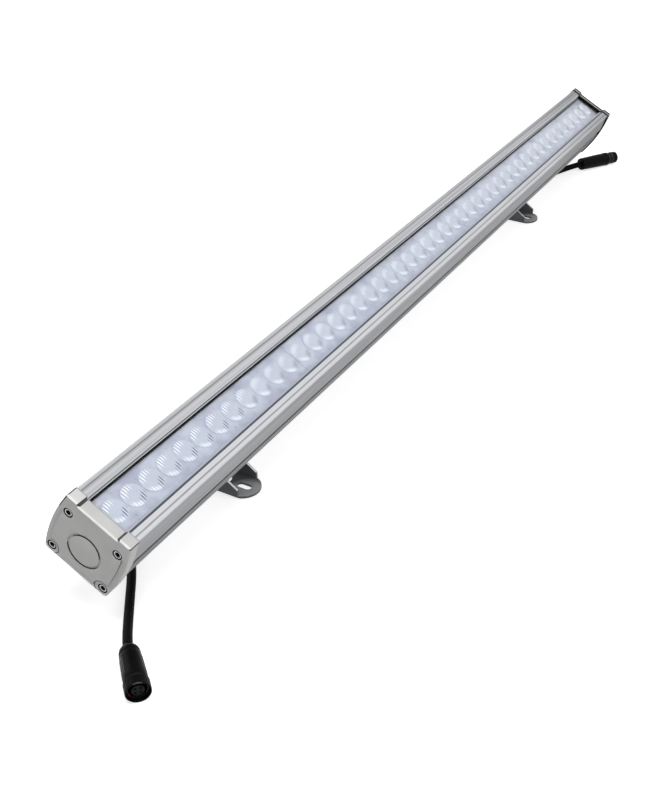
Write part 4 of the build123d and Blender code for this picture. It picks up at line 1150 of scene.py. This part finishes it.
class WASHER_OT_cap_screws(bpy.types.Operator):
    """Socket head screws in the end caps: one is modelled and copied to each bore."""

    bl_idname = "washer.cap_screws"
    bl_label = "Cap screws"

    def execute(self, context):
        steel = surface(turned_stainless, STEEL)
        pit = surface(painted_screw_shade, "#0A0A0A")
        for end, way in ENDS:
            screw = self.screw()
            screw.data.materials.append(steel)
            screw.data.materials.append(pit)
            # Painted shade: the hexagon and the head, but for the bright flat of its top, are black
            for face in screw.data.polygons:
                at = face.center / MM
                on_top = at.z > HEAD_TOP - FACE_DEPTH and FLAT_IN < at.xy.length < FLAT_OUT
                face.material_index = int(at.z > 0 and not on_top)
            outwards = Matrix.Rotation(math.radians(90 * way), 4, "Y")
            spots = [
                LAMP @ Matrix.Translation((way * (LENGTH / 2 - seat) * MM, y * MM, z * MM)) @ outwards
                for y, z, seat in SCREW_SPOTS
            ]
            screws = repeat(screw, f"{end}_socket_screws", spots)
            settle(screws, "lamp", "stainless_steel", [steel, pit], f"{end}_cap_screws")
        return {"FINISHED"}

    def screw(self):
        """Shank, head with a chamfer, and a hexagon cut into the head."""
        shank = ((-17.3, 1.3), (-16.8, 1.7), (0.0, 1.7))
        head = ((0.0, 3.4), (3.5, 3.4), (HEAD_TOP, 2.8), (HEAD_TOP, 2.4))
        body = lathe("screw", shank + head, 40)
        deselect()
        corner = HEX_HALF / math.cos(math.radians(30)) * MM
        middle = (0, 0, HEX_MIDDLE * MM)
        bpy.ops.mesh.primitive_cylinder_add(vertices=6, radius=corner, depth=HEX_DEEP * MM, location=middle)
        carve(body, "DIFFERENCE", bpy.context.active_object)
        rounded(body, 0.1, 40)
        smooth(body, 30)
        return body


class WASHER_OT_glass(bpy.types.Operator):
    """Clear front glass and the strips that seal it, dark at the rear and pale at the front."""

    bl_idname = "washer.glass"
    bl_label = "Front glass"

    def execute(self, context):
        colours = context.scene.washer_colours
        paint("front_glass", surface(toughened_glass, colours.glass))
        strips = dressed("glass_seals", 0.1)
        skins = [surface(rubber_and_painted_shade, colours.rubber), surface(pale_silicone_and_reflection, BEAD_AND_REFLECTION_GREY)]
        settle(strips, "lamp", "black_rubber", skins, "glass_seals")
        for face in strips.data.polygons:
            at, _ = in_frame(face, LEVEL)
            face.material_index = int(at.y < 0)
        return {"FINISHED"}


class WASHER_OT_lenses(bpy.types.Operator):
    """Lens strips: a plate with pegs, and a ribbed lens modelled once and copied over each LED."""

    bl_idname = "washer.lenses"
    bl_label = "Lens strips"

    def execute(self, context):
        sizes = context.scene.washer_sizes
        colours = context.scene.washer_colours
        clear = surface(lens_acrylic, colours.lens)
        web = surface(plate_acrylic, colours.plate)
        for board in range(BOARDS):
            stations = led_stations(board)
            top = self.lens(sizes)
            top.data.materials.append(web)
            top.data.materials.append(clear)
            for face in top.data.polygons:
                face.material_index = 1
            tops = repeat(top, "lens_tops", [self.spot(x, 0, PLATE_TOP) for x in stations])
            rim = sizes.lens_radius / MM - 0.1
            cone = lathe("cone", ((BOARD_TOP, 2.8), (BOARD_TOP, 4.5), (PLATE_LOW, rim)), 24)
            smooth(cone, 40)
            cones = repeat(cone, "lens_cones", [self.spot(x, 0, 0) for x in stations])
            peg = lathe("peg", ((0.0, 1.3), (0.15, 1.25), (0.25, 1.0), (0.3, 0.3)), 20)
            smooth(peg, 50)
            gaps = [x + LED_PITCH / 2 for x in stations[::3]]
            pegs = repeat(peg, "lens_pegs", [self.spot(x, y, PLATE_TOP) for x in gaps for y in (-PEG_Y, PEG_Y)])
            plate = self.plate((stations[0] + stations[-1]) / 2)
            strip = join([plate, cones, pegs, tops], f"lens_strip_{board + 1}_dressed")
            settle(strip, "lamp", "clear_plastic", [web, clear], f"lens_strip_{board + 1}")
        return {"FINISHED"}

    def spot(self, x, y, z):
        """Matrix of a place in the lamp's own frame, in mm."""
        return LAMP @ Matrix.Translation((x * MM, y * MM, z * MM))

    def plate(self, centre):
        """Flat web with rounded edges, round a station along the lamp in mm."""
        deselect()
        bpy.ops.mesh.primitive_cube_add(size=1.0)
        plate = bpy.context.active_object
        long = LEDS_PER_BOARD * LED_PITCH - PLATE_GAP
        shape = Matrix.Diagonal((long * MM, 2 * PLATE_HALF * MM, (PLATE_TOP - PLATE_LOW) * MM, 1))
        place(plate, Matrix.Translation((centre * MM, 0, (PLATE_LOW + PLATE_TOP) / 2 * MM)) @ shape)
        rounded(plate, 0.35, 40, 3)
        smooth(plate, 40)
        place(plate, LAMP)
        return plate

    def lens(self, sizes):
        """Round lens: a grid slab cut to a disc, then raised to a crown and ribbed by weighted displacement."""
        radius = sizes.lens_radius
        slab_top = 0.3 * MM
        slab = 0.4 * MM
        across_ribs = 6 * sizes.lens_ribs
        deselect()
        bpy.ops.mesh.primitive_grid_add(
            x_subdivisions=across_ribs, y_subdivisions=32, size=2.04 * radius, location=(0, 0, slab_top)
        )
        lens = bpy.context.active_object
        bpy.ops.object.transform_apply(location=True)
        bpy.ops.object.mode_set(mode="EDIT")
        bpy.ops.mesh.select_all(action="SELECT")
        bpy.ops.mesh.extrude_region_move(TRANSFORM_OT_translate={"value": (0, 0, -slab)})
        bpy.ops.mesh.select_all(action="SELECT")
        bpy.ops.mesh.normals_make_consistent(inside=False)
        bpy.ops.object.mode_set(mode="OBJECT")
        deselect()
        bpy.ops.mesh.primitive_cylinder_add(vertices=56, radius=radius, depth=4 * MM)
        carve(lens, "INTERSECT", bpy.context.active_object)
        crown = lens.vertex_groups.new(name="crown")
        ribs = lens.vertex_groups.new(name="ribs")
        # Painted light and shade: white strokes on the rear ribs, dark strokes on the front ribs and a painted glint
        strokes = []
        for point in lens.data.vertices:
            out = min(1.0, point.co.xy.length / radius)
            angle = math.degrees(math.atan2(point.co.y, point.co.x))
            ridge = math.cos(math.pi * sizes.lens_ribs * point.co.x / radius)
            rim = ramp(out, 0.4, 0.6) * (1 - out**10)
            rear = rim * beside(angle, *REAR_RIBS)
            front = rim * beside(angle, *FRONT_RIBS)
            glint = ramp(out, 0.55, 0.75) * ramp(out, 0.99, 0.9) * beside(angle, *GLINT)
            stroke = rear * (0.8 * ridge + 0.35) + front * (0.8 * ridge - 0.35) + glint * (0.55 + 0.35 * ridge)
            strokes.append(min(1.0, max(0.0, 0.5 + 0.5 * stroke)))
            if point.co.z > 0.2 * MM:
                crown.add([point.index], 1 - out**4, "REPLACE")
                ribs.add([point.index], max(rear, front) * (0.5 + 0.5 * ridge), "REPLACE")
        lens.data.attributes.new("rib_light", "FLOAT", "POINT").data.foreach_set("value", strokes)
        rise = sizes.lens_rise - slab_top - sizes.rib_depth
        modify(lens, "DISPLACE", direction="Z", mid_level=0.0, strength=rise, vertex_group="crown")
        modify(lens, "DISPLACE", direction="Z", mid_level=0.0, strength=sizes.rib_depth, vertex_group="ribs")
        smooth(lens, 60)
        return lens


class WASHER_OT_led_boards(bpy.types.Operator):
    """LED boards, their packages and their screws, below the lenses."""

    bl_idname = "washer.led_boards"
    bl_label = "LED boards"

    def execute(self, context):
        for board in range(1, BOARDS + 1):
            paint(f"led_board_{board}", surface(white_solder_mask, "#E9EAEC"))
            paint(f"led_packages_{board}", surface(phosphor_gel, "#EBD069"))
        paint("board_screws", surface(turned_stainless, STEEL))
        return {"FINISHED"}


class WASHER_OT_driver(bpy.types.Operator):
    """Driver board, its components and the inner leads."""

    bl_idname = "washer.driver"
    bl_label = "Driver"

    def execute(self, context):
        paint("driver_board", surface(green_solder_mask, "#1F5C33"))
        paint("driver_components", surface(moulded_epoxy, "#27282B"))
        for node in ("led_leads", "near_leads", "far_leads"):
            paint(node, surface(wire_insulation, "#A9231D"))
        return {"FINISHED"}


class WASHER_OT_glands(bpy.types.Operator):
    """Cable glands under the housing: hexagon flange, fluted clamping nut, lock nut and seal."""

    bl_idname = "washer.glands"
    bl_label = "Cable glands"

    def execute(self, context):
        colours = context.scene.washer_colours
        nylon = surface(glass_filled_nylon, colours.nylon)
        for end, way in ENDS:
            gland = dressed(f"{end}_cable_gland", 0.35)
            settle(gland, "lamp", "black_nylon", [nylon], f"{end}_cable_gland")
            lock = dressed(f"{end}_lock_nut", 0.3)
            settle(lock, "lamp", "black_nylon", [nylon], f"{end}_lock_nut")
            nut = self.clamp_nut(f"{end}_fluted_nut")
            place(nut, LAMP @ Matrix.Translation((way * GLAND_X * MM, 0, 0)))
            settle(nut, "lamp", "black_nylon", [nylon], f"{end}_clamp_nut")
            paint(f"{end}_gland_seal", surface(rubber_and_painted_shade, colours.rubber))
        return {"FINISHED"}

    def clamp_nut(self, name):
        """Ring with a domed mouth, and flutes cut between its grip bars."""
        faces = 54
        rear = ((-3.0, 5.0), (-3.0, 7.1), (FLUTES[1], 7.4), (FLUTES[0], 7.4))
        dome = ((-10.5, 7.1), (-12.2, 6.4), (GLAND_MOUTH, 5.5), (GLAND_MOUTH, 5.0))
        nut = lathe(name, rear + dome + rear[:1], faces, ring=True)

        def on_flute(at, out):
            fluted = FLUTES[0] * MM < at.z < FLUTES[1] * MM
            return fluted and at.xy.length > INNER_R * MM and facet(at, faces) % 3 != 0

        return gripped(nut, on_flute, 0.12, -0.35, 0.1, 35, single=False)


class WASHER_OT_socket(bpy.types.Operator):
    """Near connector: domed body, insert with contacts, face seal and ribbed coupling nut."""

    bl_idname = "washer.socket"
    bl_label = "Socket"

    def execute(self, context):
        colours = context.scene.washer_colours
        sizes = context.scene.washer_sizes
        black = surface(rubber_and_painted_shade, colours.rubber)
        finishes = [surface(glass_filled_nylon, colours.nylon), surface(polished_nylon_with_glint, HIGHLIGHT_BLACK), black]
        line = along(SOCKET_REAR, SOCKET_HEADING)
        level = line.inverted()
        body = self.body()
        place(body, line)
        settle(body, "lamp", "black_nylon", finishes, "near_socket_body")
        # Painted highlight on the grip bars, painted shade on the tube beyond the joint with the nut
        for face in body.data.polygons:
            at, _ = in_frame(face, level)
            taper = BAR_R[0] + ramp(at.z, *BARS) * (BAR_R[1] - BAR_R[0])
            if BARS[0] < at.z < BARS[1] and at.xy.length > taper + BAR_RISE:
                face.material_index = 1
            elif at.z > SOCKET_JOINT:
                face.material_index = 2
        nut = self.nut(sizes.nut_ribs)
        place(nut, line)
        settle(nut, "coupling_nut", "black_nylon", finishes, "near_coupling_nut")
        # Painted glint on the top of the nut's rim, painted shade on its rear end
        for face in nut.data.polygons:
            at, _ = in_frame(face, level)
            if at.z > NUT_RIM and at.xy.length > NUT_RIM_R and at.x > RIM_TOP * at.xy.length:
                face.material_index = 1
            elif at.z < RIBS[0]:
                face.material_index = 2
        insert = dressed("near_socket_insert", 0.15)
        settle(insert, "lamp", "black_nylon", [surface(insert_nylon, INSERT_BLACK)], "near_socket_insert")
        seal = dressed("near_socket_seal", 0.22, segments=3)
        settle(seal, "lamp", "maroon_rubber", [surface(maroon_silicone, colours.seal), black], "near_socket_seal")
        # Painted shade: the seal is black above and below, and red only at its sides
        for face in seal.data.polygons:
            at, _ = in_frame(face, level)
            face.material_index = int(abs(at.y) < 1.3 * abs(at.x))
        paint("near_socket_contacts", surface(plated_brass, BRASS))
        return {"FINISHED"}

    def body(self):
        """Overmoulded body with a domed shoulder, grip bars on its sides and a tube for the nut."""
        dome = ((0.0, 3.3), (0.0, 4.1), (0.3, 4.9), (1.2, 5.9), (2.6, 6.8), (4.6, 7.4), (6.8, 7.6))
        groove = ((7.1, 7.3), (7.7, 7.3), (8.0, 7.7))
        grip = ((BARS[0], BAR_R[0]), (BARS[1], BAR_R[1]), (32.5, 8.57), (33.2, 8.3))
        tube = ((33.2, 7.4), (38.2, 7.4), (38.2, 6.6), (26.2, 6.6), (26.2, 0.3))
        faces = 64
        body = lathe("near_socket_shell", dome + groove + grip + tube, faces)

        def on_bar(at, out):
            sideways = abs(at.y) > abs(at.x) and at.xy.length > INNER_R * MM
            return BARS[0] * MM < at.z < BARS[1] * MM and sideways and facet(at, faces) % 2 == 0

        return gripped(body, on_bar, 0.15, 0.22, 0.15, 40)

    def nut(self, ribs):
        """Ring that turns on the tube, with shallow grooves between its grip ribs."""
        outside = ((33.5, 7.45), (33.5, 8.7), (33.9, 9.1), (RIBS[0], 9.1), (RIBS[1], 9.1), (41.8, 9.0))
        mouth = ((42.2, 8.7), (42.2, 8.2), (37.9, 8.2), (37.9, 7.45))
        faces = 3 * ribs
        nut = lathe("near_nut_ring", outside + mouth + outside[:1], faces, ring=True)

        def between_ribs(at, out):
            return RIBS[0] * MM < at.z < RIBS[1] * MM and at.xy.length > 8.6 * MM and facet(at, faces) % 3 == 0

        return gripped(nut, between_ribs, 0.1, -0.22, 0.08, 30)


class WASHER_OT_plug(bpy.types.Operator):
    """Far connector: long body, thread, sealing ring, spigot, insert and pins."""

    bl_idname = "washer.plug"
    bl_label = "Plug"

    def execute(self, context):
        colours = context.scene.washer_colours
        finishes = [surface(glass_filled_nylon, colours.nylon), surface(polished_nylon_with_glint, HIGHLIGHT_BLACK)]
        line = along(PLUG_REAR, PLUG_HEADING)
        level = line.inverted()
        body = self.body()
        place(body, line)
        settle(body, "lamp", "black_nylon", finishes, "far_plug_body")
        # Painted highlight on two turns of the thread
        for face in body.data.polygons:
            at, _ = in_frame(face, level)
            turned = any(low < at.z < high for low, high in HIGHLIGHT_TURNS)
            face.material_index = int(turned and at.xy.length > INNER_R)
        first = ((51.05, 6.8), (51.15, 7.4), (51.5, 7.7), (51.85, 7.45), (52.0, 7.35))
        second = ((52.15, 7.45), (52.5, 7.7), (52.85, 7.4), (52.95, 6.8))
        ring = lathe("far_bead_ring", first + second + first[:1], 56, ring=True)
        smooth(ring, 60)
        place(ring, line)
        settle(ring, "lamp", "black_rubber", [surface(rubber_and_painted_shade, colours.rubber)], "far_plug_ring")
        insert = dressed("far_plug_insert", 0.15)
        settle(insert, "lamp", "black_nylon", [surface(insert_nylon, INSERT_BLACK)], "far_plug_insert")
        pins = dressed("far_plug_pins", 0.2)
        settle(pins, "lamp", "brass_contact", [surface(plated_brass, BRASS)], "far_plug_pins")
        return {"FINISHED"}

    def body(self):
        """Long tapered body with grip grooves and a band, a few turns of thread drawn as rings, and a short spigot."""
        stations = [(0.0, 3.3), (0.0, 6.9), (0.3, 7.4), (0.8, 7.7), (2.2, 7.8), (GROOVES[0], 7.97), (GROOVES[1], 8.33)]
        stations += [(36.0, 8.1), (37.0, 8.1), (37.6, 8.42), (43.2, 8.5), (44.0, 8.2), (44.0, 7.3)]
        for turn in range(4):
            start = 44.6 + 1.5 * turn
            stations += [(start, 7.3), (start + 0.35, 7.6), (start + 0.75, 7.6), (start + 1.1, 7.3)]
        stations += [(50.8, 7.3), (51.0, 7.2), (51.0, 6.8), (53.0, 6.8), (53.0, 7.4), (57.4, 7.4), (58.0, 7.0)]
        stations += [(58.0, 4.8), (43.0, 4.8), (43.0, 0.3)]
        faces = 60
        body = lathe("far_plug_shell", stations, faces)

        def on_groove(at, out):
            middle = GROOVES[0] * MM < at.z < GROOVES[1] * MM
            return middle and at.xy.length > INNER_R * MM and facet(at, faces) % 3 == 0

        return gripped(body, on_groove, 0.2, -0.25, 0.12, 40)


class WASHER_OT_brackets(bpy.types.Operator):
    """Sliding brackets: bent base, carrier, pivot bolt with washers and nut, and the track's nut and screw."""

    bl_idname = "washer.brackets"
    bl_label = "Brackets"

    def execute(self, context):
        coat = surface(bracket_coat, context.scene.washer_colours.bracket)
        scratched_lit_top = surface(lit_and_shaded_foot_coat, "#B8B9BC")
        edge = surface(sheared_edge_highlight, "#DCDDDF")
        plating = surface(zinc_plating, "#B4B8BD")
        for end, _ in ENDS:
            base = dressed(f"{end}_base", 0.4)
            settle(base, f"{end}_foot", "painted_steel", [coat, scratched_lit_top, edge], f"{end}_base")
            # Painted light on the tops of the feet and a painted highlight on the cut edges of the ears
            for face in base.data.polygons:
                if face.normal.z > 0.9 and face.center.z < SHEET_TOP * MM:
                    face.material_index = 1
                elif face.center.z > SHEET_TOP * MM and abs(face.normal.x) < 0.3:
                    face.material_index = 2
            carrier = dressed(f"{end}_carrier", 0.3)
            settle(carrier, f"{end}_slider", "painted_steel", [coat], f"{end}_carrier")
            for part, body in (
                ("t_nut", "slider"),
                ("track_screw", "slider"),
                ("pivot_bolt", "foot"),
                ("pivot_washers", "foot"),
                ("pivot_nut", "foot"),
            ):
                piece = dressed(f"{end}_{part}", 0.2)
                settle(piece, f"{end}_{body}", "zinc_steel", [plating], f"{end}_{part}")
        return {"FINISHED"}


STEPS = (
    WASHER_OT_stage,
    WASHER_OT_cables,
    WASHER_OT_housing,
    WASHER_OT_end_caps,
    WASHER_OT_cap_screws,
    WASHER_OT_glass,
    WASHER_OT_lenses,
    WASHER_OT_led_boards,
    WASHER_OT_driver,
    WASHER_OT_glands,
    WASHER_OT_socket,
    WASHER_OT_plug,
    WASHER_OT_brackets,
)


class WASHER_PT_sidebar(bpy.types.Panel):
    """Lists the settings and the steps of the build in their order."""

    bl_idname = "WASHER_PT_sidebar"
    bl_label = "Wall Washer"
    bl_space_type = "VIEW_3D"
    bl_region_type = "UI"
    bl_category = "Wall Washer"

    def draw(self, context):
        for group in (context.scene.washer_sizes, context.scene.washer_colours):
            column = self.layout.column()
            for name in group.__annotations__:
                column.prop(group, name)
        for step in STEPS:
            self.layout.operator(step.bl_idname)


CLASSES = (WasherSizes, WasherColours, *STEPS, WASHER_PT_sidebar)


def register():
    for made in CLASSES:
        bpy.utils.register_class(made)
    bpy.types.Scene.washer_sizes = PointerProperty(type=WasherSizes)
    bpy.types.Scene.washer_colours = PointerProperty(type=WasherColours)


def unregister():
    del bpy.types.Scene.washer_colours
    del bpy.types.Scene.washer_sizes
    for made in reversed(CLASSES):
        bpy.utils.unregister_class(made)


def main():
    register()
    bpy.ops.washer.stage()
    bpy.ops.washer.cables()
    bpy.ops.washer.housing()
    bpy.ops.washer.end_caps()
    bpy.ops.washer.cap_screws()
    bpy.ops.washer.glass()
    bpy.ops.washer.lenses()
    bpy.ops.washer.led_boards()
    bpy.ops.washer.driver()
    bpy.ops.washer.glands()
    bpy.ops.washer.socket()
    bpy.ops.washer.plug()
    bpy.ops.washer.brackets()


if __name__ == "__main__":
    main()
